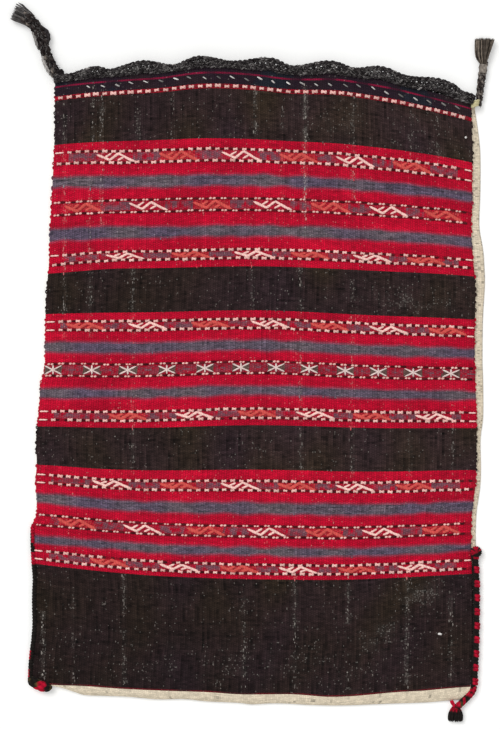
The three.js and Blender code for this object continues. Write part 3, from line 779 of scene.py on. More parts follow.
def woven_wool(name, rib, pick, contrast, groove_shade, relief, warp):
    """Woven wool: ribs along the warp, each a stack of rounded stitches, uneven in tone and without gloss.

    The rib and the pick are the width and the height of a stitch in millimetres.
    """
    material, tree = new_material(name)
    yarn = add_node(tree, "ShaderNodeAttribute", attribute_name="yarn")
    wear = add_node(tree, "ShaderNodeAttribute", attribute_name="wear")
    place = add_node(tree, "ShaderNodeUVMap", uv_map="place").outputs["UV"]
    # One rib is a row of the brick pattern, so that its stitches are stacked along the warp
    quarter_turn = {"Vector": place, "Rotation": (0, 0, -math.pi / 2), "Scale": (1 / MM,) * 3}
    turned = add_node(tree, "ShaderNodeMapping", quarter_turn)
    # Its mortar paints shade into the grooves between the stitches, darker by the groove shade, and also
    # lowers them in the bump
    stitches = add_node(
        tree,
        "ShaderNodeTexBrick",
        {
            "Vector": turned.outputs["Vector"],
            "Color1": (1 + contrast,) * 3 + (1,),
            "Color2": (1 - contrast,) * 3 + (1,),
            "Mortar": (1 - groove_shade,) * 3 + (1,),
            "Scale": 1.0,
            "Mortar Size": 0.14 * rib,
            "Mortar Smooth": 1.0,
            "Brick Width": pick,
            "Row Height": rib,
        },
    )
    # Spinning left the yarn thick and thin: long streaks along the weft
    uneven = streaks(tree, place, scale=(90, 700, 1), detail=3.0)
    both = {0: yarn.outputs["Color"], 1: stitches.outputs["Color"]}
    toned = add_node(tree, "ShaderNodeVectorMath", both, operation="MULTIPLY")
    by_streak = {0: toned.outputs["Vector"], "Scale": rescale(tree, uneven, (0.3, 0.7), (0.82, 1.18))}
    shaded = add_node(tree, "ShaderNodeVectorMath", by_streak, operation="SCALE")
    # Where the weft is worn, bits of the pale warp show between its stitches, some more than others
    cells = add_node(
        tree, "ShaderNodeMapping", {"Vector": place, "Scale": (1 / WARP_BIT[0], 1 / WARP_BIT[1], 1)}
    )
    bits = add_node(
        tree,
        "ShaderNodeTexVoronoi",
        {"Vector": cells.outputs["Vector"], "Scale": 1.0, "Randomness": 0.7},
        voronoi_dimensions="2D",
    )
    roll = add_node(tree, "ShaderNodeSeparateColor", {"Color": bits.outputs["Color"]})
    bare = calculate(tree, "LESS_THAN", roll.outputs["Red"], wear.outputs["Fac"])
    paleness = rescale(tree, roll.outputs["Green"], (0, 1), (0.02, 0.22))
    middle = rescale(tree, bits.outputs["Distance"], (0.25, 0.6), (1, 0))
    shows = calculate(tree, "MULTIPLY", calculate(tree, "MULTIPLY", paleness, middle), bare)
    # Sockets 6 and 7 are the two colours that this node mixes, and its output 2 is their mixture
    weft_or_warp = {0: shows, 6: shaded.outputs["Vector"], 7: (*warp, 1)}
    worn = add_node(tree, "ShaderNodeMix", weft_or_warp, data_type="RGBA")
    raised = calculate(tree, "SUBTRACT", uneven, stitches.outputs["Fac"])
    dull_surface(
        tree,
        worn.outputs[2],
        fibres=uneven,
        smoothest=0.82,
        height=raised,
        relief=relief,
        depth=0.7 * MM,
        sheen=0.02,
        sheen_roughness=0.6,
    )
    return material


def spun_yarn(name, plies, twist, contrast, relief):
    """Spun yarn: plies that wind round it, with fibre streaks along them and a dull, hairy surface."""
    material, tree = new_material(name)
    yarn = add_node(tree, "ShaderNodeAttribute", attribute_name="yarn")
    place = add_node(tree, "ShaderNodeUVMap", uv_map="place").outputs["UV"]
    parts = add_node(tree, "ShaderNodeSeparateXYZ", {"Vector": place})
    along = calculate(tree, "MULTIPLY", parts.outputs["Y"], 2 * math.pi / twist)
    turn = calculate(tree, "MULTIPLY_ADD", parts.outputs["X"], 2 * math.pi * plies, along)
    fibres = streaks(tree, place, scale=(9, 450, 1), detail=4.0)
    # The yarn's colour is lighter on each ply's crown and darker where it dips beside the next, as painted
    # shade, with the fibre streaks' own tone in it
    height = calculate(tree, "MULTIPLY_ADD", calculate(tree, "SINE", turn), 0.35, fibres)
    tone = rescale(tree, height, (0.05, 0.95), (1 - contrast, 1 + contrast))
    by_ply_shade_and_streaks = {0: yarn.outputs["Color"], "Scale": tone}
    shaded = add_node(tree, "ShaderNodeVectorMath", by_ply_shade_and_streaks, operation="SCALE")
    dull_surface(
        tree,
        shaded.outputs["Vector"],
        fibres=fibres,
        smoothest=0.75,
        height=height,
        relief=relief,
        depth=0.5 * MM,
        sheen=0.03,
        sheen_roughness=0.5,
    )
    return material


def cloth_columns(spacing):
    """Columns across the cloth: shares of the front and of the plain strip, and fullness at the edges."""
    edge = np.array(EDGE_COLUMNS) * MM
    inner = np.linspace(edge[-1], FOOT_WIDTH - edge[-1], round(FOOT_WIDTH / spacing))
    places = np.concatenate([edge[:-1], inner, FOOT_WIDTH - edge[-2::-1]])
    reach = np.clip(np.minimum(places, FOOT_WIDTH - places) / EDGE_ROUND, 0, 1)
    fullness = np.sqrt(1 - (1 - reach) ** 2)
    strip = np.ones(len(STRIP_COLUMNS))
    across = np.concatenate([places / FOOT_WIDTH, strip])
    out = np.concatenate([np.zeros(len(places)), STRIP_COLUMNS])
    return across, out, np.concatenate([fullness, strip])


def bands():
    """The front's bands in turn, from the mouth."""
    start, brocaded = MOUTH, -1
    for kind, width in BANDS:
        brocaded += kind == "brocade"
        yield Band(kind, start, width * MM, brocaded)
        start += width * MM


def cloth_rows(spacing):
    """Rows down the cloth, closer where the colours change."""
    rows = []
    for band in bands():
        if band.kind == "brocade":
            last = band.width - 2 * DOT_LINE
            stops = [0, DOT_LINE, *np.linspace(2 * DOT_LINE, last, BROCADE_ROWS), band.width - DOT_LINE]
        else:
            step = spacing * 0.75 if band.kind == "dark" else spacing / 2
            stops = np.linspace(0, band.width, max(round(band.width / step), 1), endpoint=False)
        for stop in stops:
            lift = BROCADE_RIDGE if band.kind in ("brocade", "border") and stop > 0 else 0
            rows.append(Row(band.start + stop, lift, 0.0, band))
    fold_over = Band("cream", FRONT_LENGTH, 0.0, None)
    return rows + [Row(FRONT_LENGTH, 0, fold, fold_over) for fold in FOLD_ROWS]


def waver(*place):
    """Slow uneven change from place to place, about -1 to 1. Its last number picks one of many patterns."""
    return noise.noise(place) * 1.5


class ClothDye:
    """Colours of the cloth, stitch by stitch."""

    def __init__(self, cloth, brocade):
        self.cloth, self.brocade = cloth, brocade
        self.chance = random.Random(11)
        self.blues = [band for band in bands() if band.kind == "blue"]

    def motif(self, x, band):
        """Nearest motif of a brocaded band: its kind and the distance to its middle."""
        _, first, middles = BROCADE[band]
        away = [x - middle * MM for middle in middles]
        nearest = min(range(len(away)), key=lambda place: abs(away[place]))
        if first == "star":
            return first, away[nearest]
        kinds = ("cream", "orange") if first == "cream" else ("orange", "cream")
        return kinds[nearest % 2], away[nearest]

    def brocade_ground(self, x, down, band):
        """Ground behind the dots and motifs."""
        cloth, brocade, roll = self.cloth, self.brocade, self.chance.random()
        kind, away = self.motif(x, band.brocade)
        aside, off = abs(away), abs(down - band.width / 2)
        speckle = mix(brocade.speckle, brocade.dot_ground, 0.35 * self.chance.random() ** 2)
        if min(down, band.width - down) < 2 * DOT_LINE:
            return mix(cloth.red, brocade.dot_ground, self.chance.uniform(0.1, 0.5))
        if kind == "star":
            if aside < STAR_WIDTH / 2 and off < 0.5 * aside:
                return mix(brocade.star_ground, brocade.dot_ground, 0.4 * roll)
            if aside > STAR_WIDTH * 0.92 and off < 1.4 * MM:
                return speckle
            return mix(mix(cloth.red, brocade.speckle, 0.7 * roll), brocade.dot_ground, 0.2)
        if aside < brocade.hook_length / 2:
            if kind == "orange":
                return mix(cloth.red, brocade.orange, self.chance.uniform(0.0, 0.55))
            return mix(cloth.red, brocade.speckle, 0.3 * roll)
        along = band.start + down
        if min(x - left_edge(along), right_edge(along) - x) < RED_ENDS:
            return mix(cloth.red, cloth.bright_red, roll)
        clump = waver(x * 170, along * 170, 9)
        return mix(cloth.red, speckle, np.clip(0.45 + 0.9 * clump + 0.5 * roll, 0, 1))

    def blueness(self, x, along):
        """0 in red, 1 in blue, and between where their wefts mix at the edges of a blue stripe."""
        inside = max(min(along - band.start, band.start + band.width - along) for band in self.blues)
        return float(smooth_step(inside + 1.2 * MM * waver(x * 50, along * 30, 5), -BLUR, BLUR))

    def plain(self, often=0.15):
        """Colour of a bit of the plain back: undyed, with darker hairs as often as told."""
        has_dark_hairs = self.chance.random() < often
        tone = self.chance.uniform(0.5, 0.8) if has_dark_hairs else self.chance.uniform(0.9, 1.05)
        return np.array(self.cloth.cream) * tone

    def stitch(self, band, x, along):
        """Colour of one stitch of the front."""
        cloth, kind = self.cloth, band.kind
        if kind == "cream":
            return self.plain(0.03)
        streak = 1 + 0.12 * waver(x * 9, along * 160, 1) + 0.12 * waver(x * 420, along * 4, 2)
        cast = waver(x * 22, along * 16, 3)
        if kind == "dark":
            tinge = cloth.dark_green if cast > 0 else cloth.dark_plum
            base = mix(cloth.dark, tinge, min(abs(cast) * 1.2, 1))
            streak += 0.45 * waver(x * 150, along * 500, 4) + 0.42 * waver(x * 500, along * 40, 8)
            streak *= ramp(along, DARK_TONES) * ramp(x, DARK_SIDES)
        elif kind in ("red", "blue"):
            red = mix(cloth.red, cloth.bright_red, np.clip(0.5 + 0.9 * cast, 0, 1))
            blue = mix(cloth.blue, cloth.grey_blue, np.clip(0.45 + 1.1 * cast, 0, 1))
            blue = mix(blue, cloth.teal, 0.5 * self.chance.random() ** 2)
            share = self.blueness(x, along)
            base = mix(red, cloth.plum, 2 * share) if share < 0.5 else mix(cloth.plum, blue, 2 * share - 1)
            streak += mix(0.12, 0.35, share) * waver(x * 70, along * 600, 4)
            streak += mix(0.08, 0.2, share) * waver(x * 420, along * 90, 8)
        elif kind == "hem":
            tinge = cloth.teal if cast > 0.2 else cloth.dark
            base = mix(cloth.navy, tinge, np.clip(0.2 + 0.7 * abs(cast), 0, 1))
        elif kind == "pin":
            base = mix(cloth.pin, cloth.navy, np.clip(0.3 + 1.1 * waver(x * 60, along, 6), 0, 0.85))
        elif kind == "foot":
            base = mix(cloth.foot_line, cloth.dark, np.clip(0.2 + waver(x * 60, along, 7), 0, 0.7))
        elif kind == "border":
            edge = abs(along - band.start - band.width / 2) / band.width
            base = mix(cloth.red, cloth.foot_line, np.clip(0.1 + edge + 0.4 * cast, 0, 1))
        else:
            base = self.brocade_ground(x, along - band.start, band)
        return base * streak


def worn_share(x, along):
    """How often the warp shows through the front at a place, where the weft has worn."""
    share = WORN_ALL_OVER
    for place, start, end, often in WORN_WARPS:
        if start * MM < along < end * MM:
            share += 0.7 * often * math.exp(-(((x - place * MM) / WORN_REACH) ** 2))
    for middle_x, middle_along, reach_x, reach_along, often in WORN_PATCHES:
        away = math.hypot((x / MM - middle_x) / reach_x, (along / MM - middle_along) / reach_along)
        share += often * math.exp(-(away**2))
    clump = 0.6 + 0.8 * waver(x * 90, along * 90, 15) + 0.5 * waver(x * 25, along * 300, 16)
    return share * float(np.clip(clump, 0, 1.3))


def outer_skin(across, out, fullness, rows):
    """Points of the cloth's face and underside, by row and column, and their places on the weave."""
    along = np.array([row.along for row in rows])[:, None]
    lift = np.array([row.lift for row in rows])[:, None]
    fold = np.array([row.fold for row in rows])[:, None]
    round_fold = np.sqrt(1 - fold**2)
    drawn_in = CORNER_ROUND * (1 - round_fold) / (FOOT_WIDTH / 2)
    x = (mix(left_edge(along), right_edge(along), across) + out * side_show(along)) * (1 - drawn_in)
    y = weft_height(across, along) - fold * foot_show(across)
    at_right = across > 0.5
    seam = np.where(at_right, BACK_THICKNESS + SEAM_STEP, SEAM_MIDDLE)
    face = seam + (front_rise(across, along) + lift - seam) * fullness
    face = np.where(out > 0, mix(BACK_THICKNESS, SELVEDGE_THICKNESS, out), face)
    face = np.where(out == 1, SELVEDGE_THICKNESS / 2, face)
    top = FOLD_MIDDLE + (face - FOLD_MIDDLE) * round_fold
    under = np.where(at_right, 0, SEAM_MIDDLE * (1 - fullness)) + FOLD_MIDDLE * (1 - round_fold)
    on_weft = across * FOOT_WIDTH + out * STRIP_WIDTH + 0 * along
    places = np.stack([on_weft, along + fold * foot_show(across)], axis=-1)
    return np.stack([x, y, top], axis=-1), np.stack([x, y, under + 0 * x], axis=-1), places


def lining_skin(count, columns):
    """Points of the pocket's ceiling and floor, which meet at the seams, and their places on the weave."""
    along = np.linspace(MOUTH, FRONT_LENGTH - SEAM_WIDTH, count)[:, None]
    margin = SEAM_WIDTH / FOOT_WIDTH
    across = np.linspace(margin, 1 - margin, columns) + 0 * along
    x = mix(left_edge(along), right_edge(along), across)
    y = weft_height(across, along)
    floor = np.full_like(x, BACK_THICKNESS)
    ceiling = front_rise(across, along) - FRONT_THICKNESS
    ceiling[:, [0, -1]] = ceiling[-1] = BACK_THICKNESS + SEAM_GAP
    places = np.stack([across * FOOT_WIDTH, along + 0 * across], axis=-1)
    return np.stack([x, y, ceiling], axis=-1), np.stack([x, y, floor], axis=-1), places


def shared_edges(numbers):
    """Numbers of the points that two patches share: both sides and the last row."""
    shared = np.full_like(numbers, -1)
    shared[:, [0, -1]], shared[-1] = numbers[:, [0, -1]], numbers[-1]
    return shared


def cloth_skin(cloth, brocade):
    """The cloth as one closed skin: front, fold and plain back outside, and the pocket's lining inside."""
    across, out, fullness = cloth_columns(cloth.warp_spacing)
    rows = cloth_rows(cloth.row_spacing)
    columns = len(across)
    dye = ClothDye(cloth, brocade)
    dark, cream = np.array(cloth.dark), np.array(cloth.cream)
    skin = Patchwork()

    face, under, places = outer_skin(across, out, fullness, rows)
    front = skin.number(face)
    middle_x = (face[:-1, :-1, 0] + face[1:, 1:, 0]) / 2
    shades, kinds, wear = [], [], []
    for row, (upper, lower) in enumerate(zip(rows, rows[1:])):
        middle = (upper.along + lower.along) / 2
        for column in range(columns - 1):
            x = middle_x[row, column]
            plain = out[column + 1] > 0
            kinds.append(plain or upper.band.kind == "cream")
            wear.append(0 if kinds[-1] else worn_share(x, middle))
            shade = dye.plain() if plain else dye.stitch(upper.band, x, middle)
            shades.append(mix(shade, brocade.worn, WORN_VEIL * wear[-1]))
    skin.sew(front, places, np.array(shades), np.array(kinds), np.array(wear))

    # The back and the lining have fewer columns than the front
    few = sorted({0, 1, *range(2, columns - 1, BACK_STEP), columns - 1})
    back = skin.number(under[:, few], shared_edges(front[:, few]))
    back_shades = np.array([dye.plain(0) for _ in range((len(rows) - 2) * (len(few) - 1))])
    skin.sew(back[:-1], places[:-1, few], back_shades, 1, flip=True)
    skin.join(front[-1], back[-2], places[-1], places[-2, few], few, cream, 1, flip=True)

    ceiling_points, floor_points, lining_places = lining_skin(LINING_ROWS, len(few))
    ceiling = skin.number(ceiling_points)
    floor = skin.number(floor_points, shared_edges(ceiling))
    skin.sew(ceiling, lining_places, dark, 0, flip=True)
    skin.sew(floor, lining_places, cream, 1)
    skin.join(front[0], ceiling[0], places[0], lining_places[0], few, dark, 0)
    rim_places = np.stack([lining_places[0], places[0, few]])
    skin.sew(np.stack([floor[0], back[0]]), rim_places, cream, 1, flip=True)
    return skin


def lay_stroke(skein, stops, along, widths, height, shade, lift):
    """Lays a short flat yarn on the front through stops that are given in x and in distance along."""
    stops = np.asarray(stops)
    run = run_of(stops)
    x, down = between(np.linspace(0, run[-1], len(widths)), run, stops).T
    down = down + along
    line = on_front(across_at(x, down), down, lift + height * STROKE_SEAT)
    skein.lay(line, widths, height * rounded(len(widths)), shade)


def lay_dots(skein, along, kind, brocade, ground, stout, dashes, chance):
    """Lays one dotted line: bows or pairs of dots with brown between them, and dashes at some ends."""
    left, right = left_edge(along), right_edge(along)
    height = brocade.stroke_height
    pitch = brocade.bow_pitch if kind == "bows" else brocade.pair_pitch
    half = BOW_HALF if kind == "bows" else PAIR_HALF
    middle, last = left + FIRST_DOT, right - LAST_DOT
    if chance.random() < dashes:
        ends = [(left + place, 0) for place in LEFT_DASH]
        lay_stroke(skein, ends, along, DASH_WIDTHS, height, brocade.cream, BROCADE_RIDGE)
        middle += LEFT_DASH[1]
    if chance.random() < dashes:
        ends = [(right - place, 0) for place in RIGHT_DASH]
        lay_stroke(skein, ends, along, DASH_WIDTHS, height, brocade.cream, BROCADE_RIDGE)
        last -= RIGHT_DASH[0] - RIGHT_DASH[1]
    while middle < last:
        shift, tilt = chance.uniform(-0.4, 0.4) * MM, chance.uniform(-0.4, 0.4) * MM
        size = stout * chance.uniform(0.82, 1.15)
        pale = np.asarray(brocade.cream) * chance.uniform(0.7, 1.02)
        tone = mix(pale, brocade.orange, chance.uniform(0, 0.2))
        step = pitch * chance.uniform(0.95, 1.05)
        reach = half * size
        if chance.random() > MISSING_DOTS:
            if kind == "bows":
                ends = [((middle - reach, shift - tilt), (middle + reach, shift + tilt), BOW_WIDTHS)]
            else:
                lean = chance.uniform(-0.1, 0.4) * MM
                ends = [
                    ((middle - reach, shift + lean), (middle - PAIR_GAP, shift - lean), DOT_WIDTHS),
                    ((middle + PAIR_GAP, shift + lean), (middle + reach, shift - lean), DOT_WIDTHS),
                ]
            for *stops, widths in ends:
                lay_stroke(skein, stops, along, widths * size, height, tone, BROCADE_RIDGE)
        gap = (middle + half * 1.05, shift), (middle + step - half * 1.05, shift)
        dark = np.asarray(ground) * chance.uniform(0.6, 1.6)
        lay_stroke(skein, gap, along, BROWN_WIDTHS * size, BROWN_HEIGHT, dark, BROCADE_RIDGE)
        middle += step


def lay_motif(skein, middle, along, strokes, size, width, height, shade, chance):
    """Lays a hook or a star on the front."""
    for shares, stout in strokes:
        stops = [(middle + size[0] * s, size[1] * t + chance.uniform(-0.3, 0.3) * MM) for s, t in shares]
        rings = 4 + round(run_of(np.array(stops))[-1] / RING_STEP)
        uneven = np.array([chance.uniform(0.8, 1.15) for _ in range(rings)])
        tones = np.array([np.asarray(shade) * chance.uniform(0.82, 1.1) for _ in range(rings)])
        widths = width * stout * uneven * rounded(rings, 2 / rings)
        lay_stroke(skein, stops, along, widths, height, tones, BROCADE_RIDGE)


class FEEDBAG_OT_stage(bpy.types.Operator):
    """White floor, soft light from above and a camera that looks straight down"""

    bl_idname = "feedbag.stage"
    bl_label = "Stage"

    def execute(self, context):
        settings = context.scene.feed_bag.stage
        bpy.ops.object.select_all(action="DESELECT")
        bpy.ops.mesh.primitive_plane_add(size=8, location=(0, 0, -0.4 * MM))
        floor = context.object
        floor.name = "floor"
        floor.data.materials.append(self.paper(settings))
        floor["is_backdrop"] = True
        bpy.ops.object.light_add(type="SUN", location=(-1, 1, 3), rotation=(-0.5, -0.55, 0))
        context.object.data.energy = 1.5
        context.object.data.angle = math.radians(35)
        bpy.ops.object.camera_add(location=(-4 * MM, 25 * MM, settings.camera_height), rotation=(0, 0, 0))
        camera = context.object
        camera.data.lens = 100
        camera.data.sensor_width = 36
        context.scene.camera = camera
        context.scene.world = self.sky()
        context.scene.view_settings.view_transform = "Standard"
        return {"FINISHED"}

    def paper(self, settings):
        """White paper: plain, without gloss, and lifted to full white where the camera sees it lit."""
        material, tree = new_material("white_paper")
        lift = calculate(tree, "MULTIPLY", self.seen(tree), 0.2)
        glow = add_node(tree, "ShaderNodeEmission", {"Strength": lift})
        plain = add_node(tree, "ShaderNodeBsdfDiffuse", {"Color": (*settings.floor, 1), "Roughness": 1.0})
        shaders = {0: plain.outputs["BSDF"], 1: glow.outputs["Emission"]}
        both = add_node(tree, "ShaderNodeAddShader", shaders)
        add_node(tree, "ShaderNodeOutputMaterial", {"Surface": both.outputs["Shader"]})
        return material

    def sky(self):
        """Even white light, and full white where the camera or a reflection sees it."""
        world = bpy.data.worlds.new("soft_room")
        world.use_nodes = True
        tree = world.node_tree
        tree.nodes.clear()
        strength = rescale(tree, self.seen(tree), (0, 1), (0.7, 1.0))
        light = add_node(tree, "ShaderNodeBackground", {"Color": (1, 1, 1, 1), "Strength": strength})
        add_node(tree, "ShaderNodeOutputWorld", {"Surface": light.outputs["Background"]})
        return world

    def seen(self, tree):
        """1 for camera, glossy and transmission rays."""
        rays = add_node(tree, "ShaderNodeLightPath").outputs
        first_two = calculate(tree, "MAXIMUM", rays["Is Camera Ray"], rays["Is Glossy Ray"])
        return calculate(tree, "MAXIMUM", first_two, rays["Is Transmission Ray"])


def mouth_line(share):
    """Points of the cloth's mouth in plan, and the way out of the mouth there."""
    point = on_front(share, 0.0)[..., :2]
    ahead = unit(on_front(share + 0.001, 0.0)[..., :2] - point)
    return point, np.stack([-ahead[..., 1], ahead[..., 0]], axis=-1)


def edging_point(share, rise):
    """A point of the front edging in plan: rise runs from 0 at the cloth to 1 at its outer line."""
    point, outwards = mouth_line(share)
    return point + outwards * (CLEARANCE + EDGING_HEIGHT * rise)


def marled(count, yarn, chance, light, step):
    """Colours along a marled strand: charcoal with grey and pale hair in it."""
    stops = np.arange(0, count + step, step)
    tones = []
    for _ in stops:
        roll = chance.random()
        if roll < 0.55 - 0.3 * light:
            tones.append(np.array(yarn.charcoal))
        elif roll < 1 - 0.32 * light:
            tones.append(mix(yarn.charcoal, yarn.grey, chance.uniform(0.2, 0.8)))
        else:
            tones.append(mix(yarn.grey, yarn.pale, chance.uniform(0.0, 0.75)))
    return between(np.arange(count), stops, tones)


def lay_twist(skein, line, thickness, plies, twist, shades, sides=6):
    """Lays plies that are twisted together along a line, each about half as thick as the whole."""
    _, aside, above = ways(line)
    run = run_of(line)
    thick = np.broadcast_to(thickness, len(line))[:, None]
    for ply in range(plies):
        turn = (2 * np.pi * (run / twist + ply / plies))[:, None]
        offset = (aside * np.cos(turn) + above * np.sin(turn)) * thick * PLY_OFFSET
        skein.lay(line + offset, thickness * PLY_SHARE, thickness * PLY_SHARE, shades(len(line)), sides)


def lay_braid(skein, line, half_width, half_height, thickness, strands, period, plies, shades):
    """Lays a flat braid of several plied strands along a line."""
    _, aside, _ = ways(line)
    run = run_of(line)
    for strand in range(strands):
        turn = 2 * np.pi * (run / period + strand / strands)
        offset = aside * (half_width * np.cos(turn))[:, None]
        offset[:, 2] += half_height * np.sin((strands - 1) * turn)
        lay_twist(skein, line + offset, thickness, plies, period / 3, shades)


def lay_fuzz(skein, line, spread, top, count, yarn, chance):
    """Lays short loose hairs over a braid."""
    ahead, aside, _ = ways(line)
    for _ in range(count):
        place, side = chance.randrange(len(line)), chance.uniform(-1, 1)
        middle = line[place] + aside[place] * side * spread[place]
        middle[2] += top * math.sqrt(1 - 0.8 * side**2)
        turn = chance.gauss(0, 0.7)
        way = ahead[place] * math.cos(turn) + aside[place] * math.sin(turn)
        reach = way * chance.uniform(0.8, 2.4) * MM
        dip = np.array((0, 0, 0.5 * MM))
        tone = mix(yarn.charcoal, yarn.pale, 0.65 * chance.random() ** 1.5)
        thick = np.array([0.5, 1, 0.5]) * chance.uniform(0.6, 1.0) * MM
        skein.lay([middle - reach - dip, middle, middle + reach - dip], thick, thick, tone, sides=4)


class FEEDBAG_OT_ties(bpy.types.Operator):
    """The plaited ties at the corners of the mouth, with their tassels and the right tie's wrapping"""

    bl_idname = "feedbag.ties"
    bl_label = "Ties"

    def execute(self, context):
        self.yarn = context.scene.feed_bag.yarn
        self.chance = random.Random(23)
        # Goat hair: coarse, two-ply and loosely spun, dull with a few pale hairs
        self.hair = spun_yarn("marled_goat_hair", plies=2, twist=6 * MM, contrast=0.45, relief=0.6)
        self.left()
        self.right()
        return {"FINISHED"}

    def route(self, root, points, diameter):
        """Line of a tie from its root, through points in millimetres."""
        height = diameter * TIE_SEAT
        return smooth_line([(root[0] + x * MM, root[1] + y * MM, height) for x, y in points], 1.2 * MM)

    def plait(self, line, diameter, light, step, hairs):
        """A tie's plait of three strands, with loose hairs on it."""
        skein = Skein()
        lay_braid(
            skein,
            line,
            half_width=diameter * np.linspace(0.22, 0.38, len(line)),
            half_height=diameter * 0.12,
            thickness=diameter * 0.46,
            strands=3,
            period=self.yarn.plait_period,
            plies=3,
            shades=lambda count: marled(count, self.yarn, self.chance, light, step) * WARM_TINGE,
        )
        spread = np.full(len(line), diameter * 0.4)
        lay_fuzz(skein, line, spread, diameter * 0.32, hairs, self.yarn, self.chance)
        return skein

    def lay_locks(self, skein, roots, tips, thickness, tones, bell=0.0):
        """Lays locks of loose hair from roots to tips. With a bell, those to the left spread early."""
        for root, tip in zip(roots, tips):
            start, end = np.array(root), np.array(tip)
            middle = mix(start, end, 0.5)
            if end[0] < start[0]:
                middle[:2] += bell * (end - start)[:2] * (1, -0.4)
            middle[2] += self.chance.uniform(0, 1.5) * MM
            line = smooth_line([start, middle, end], 3.5 * MM)
            taper = np.linspace(1, 0.75, len(line)) * rounded(len(line), 0.2)
            tone = mix(*tones, self.chance.random())
            skein.lay(line, thickness * taper, thickness * taper, tone, sides=4)

    def lay_bit(self, skein, points, thickness, shade):
        """Lays one thick bit of yarn through points in millimetres."""
        line = smooth_line(np.array(points) * MM, 2 * MM)
        thick = thickness * rounded(len(line), 0.4)
        lay_twist(skein, line, thick, 3, 12 * MM, lambda count: shade)

    def left(self):
        """The left tie with its loose plies and its frayed end."""
        yarn, chance = self.yarn, self.chance
        share = (LEFT_TIE_SHIFT + LEFT_TIE_DIAMETER / 2) / (right_edge(0.0) - left_edge(0.0))
        root = (left_edge(0.0) + LEFT_TIE_SHIFT, edging_point(share, 1.0)[1] + CLEARANCE)
        line = self.route(root, LEFT_TIE_ROUTE, LEFT_TIE_DIAMETER)
        tie = self.plait(line, LEFT_TIE_DIAMETER, light=0.35, step=4, hairs=150).make("left_tie", self.hair)
        charcoal, grey, pale = (np.array(shade) for shade in (yarn.charcoal, yarn.grey, yarn.pale))
        loose = Skein()
        self.lay_bit(loose, PALE_PLY, PLY_THICKNESS, pale * 1.15)
        self.lay_bit(loose, UPPER_PLY, UPPER_PLY_THICKNESS, pale * 0.8)
        self.lay_bit(loose, SLACK_LOOP, PLY_THICKNESS, mix(charcoal, grey, 0.5))
        self.lay_bit(loose, BASE_LUMP, LUMP_THICKNESS, charcoal)
        plies = loose.make("left_tie_loose_plies", self.hair)
        roots, tips = [], []
        for _ in range(TASSEL_LOCKS):
            share = chance.random()
            layer = chance.uniform(1.2, 6.6) * MM
            swell = np.array([chance.uniform(-1.0, 0.8) * MM, chance.uniform(-0.8, 0.8) * MM])
            roots.append((*mix(*TASSEL_ROOT, share) * MM, mix(3.5 * MM, layer, 0.5)))
            tips.append((*(mix(*TASSEL_TIPS, share) * MM + swell), layer))
        for place in range(WISP_LOCKS):
            start = np.array(WISP_ROOT) * MM + chance.uniform(-0.8, 0.8) * MM
            end = mix(*WISP_TIPS, place / (WISP_LOCKS - 1)) * MM
            roots.append((*start, 4 * MM))
            tips.append((*end, chance.uniform(1.5, 5.5) * MM))
        tassel = Skein()
        self.lay_locks(tassel, roots, tips, TASSEL_LOCK, (charcoal * 0.4, mix(grey, pale, 0.4)))
        brush = tassel.make("left_tie_tassel", self.hair)
        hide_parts("left_tie")
        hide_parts("left_tie_tassel")
        run_of(line)[-1]

    def right(self):
        """The right tie with its wrapping, its tassel and the yarn that ties it on."""
        ahead = unit(on_front(1.0, 0.0)[:2] - on_front(0.999, 0.0)[:2])
        root = edging_point(1.0, RIGHT_TIE_SEAT) + ahead * (CLEARANCE + RIGHT_TIE_DIAMETER / 2)
        line = self.route(root, RIGHT_TIE_ROUTE, RIGHT_TIE_DIAMETER)
        run = run_of(line)
        tie = self.plait(line, RIGHT_TIE_DIAMETER, light=1.2, step=7, hairs=50).make("right_tie", self.hair)
        # Cotton thread: smooth and tightly wound
        thread = spun_yarn("wound_cotton_thread", plies=2, twist=1.5 * MM, contrast=0.2, relief=0.3)
        winding = self.wrap(line, run).make("right_tie_wrap", thread)
        brush = self.fan(line, run).make("right_tie_tassel", self.hair)
        tying = self.knot(line[0]).make("right_tie_knot", thread)
        for piece, node in ((tie, "right_tie"), (winding, "right_tie_wrap"), (brush, "right_tie_tassel")):
            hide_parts(node)

    def wrap(self, line, run):
        """Thread that is wound round the right tie."""
        spin = np.linspace(0, WRAP_TURNS, WRAP_TURNS * TURN_POINTS + 1)
        core = between(mix(WRAP_START, WRAP_END, spin / WRAP_TURNS), run, line)
        core[:, 2] = WRAP_DIAMETER / 2
        way = unit(line[-1] - line[-5])
        side, turn = np.cross(way, (0, 0, 1)), 2 * np.pi * spin[:, None]
        ring = side * np.cos(turn) + np.array((0, 0, 1)) * np.sin(turn)
        tones = np.array([np.array(self.yarn.thread) * self.chance.uniform(0.5, 1.15) for _ in spin])
        winding = core + ring * (WRAP_DIAMETER - WRAP_THREAD) / 2
        skein = Skein()
        skein.lay(winding, WRAP_THREAD, WRAP_THREAD, tones, normal=way)
        return skein

    def fan(self, line, run):
        """Hair of the right tie, which spreads out of its wrapping like a fan."""
        base = between(WRAP_END - FAN_SEAT, run, line)
        side = np.cross(unit(line[-1] - line[-5]), (0, 0, 1))
        roots, tips = [], []
        for place in range(FAN_LOCKS):
            spread = 2 * (place + 0.5) / FAN_LOCKS - 1
            start = base + side * spread * FAN_ROOT * MM
            reach = FAN_LENGTH - 1.2 * spread**2 + self.chance.uniform(-1.0, 0.4)
            end = base[:2] + np.array((spread * FAN_SPREAD + FAN_LEAN, reach)) * MM
            layer = self.chance.uniform(0.8, 6.8) * MM
            roots.append((start[0], start[1], mix(4.2 * MM, layer, 0.6)))
            tips.append((*end, layer))
        skein = Skein()
        tones = np.array(self.yarn.charcoal) * 0.4, self.yarn.brown
        self.lay_locks(skein, roots, tips, FAN_LOCK, tones, bell=0.4)
        return skein

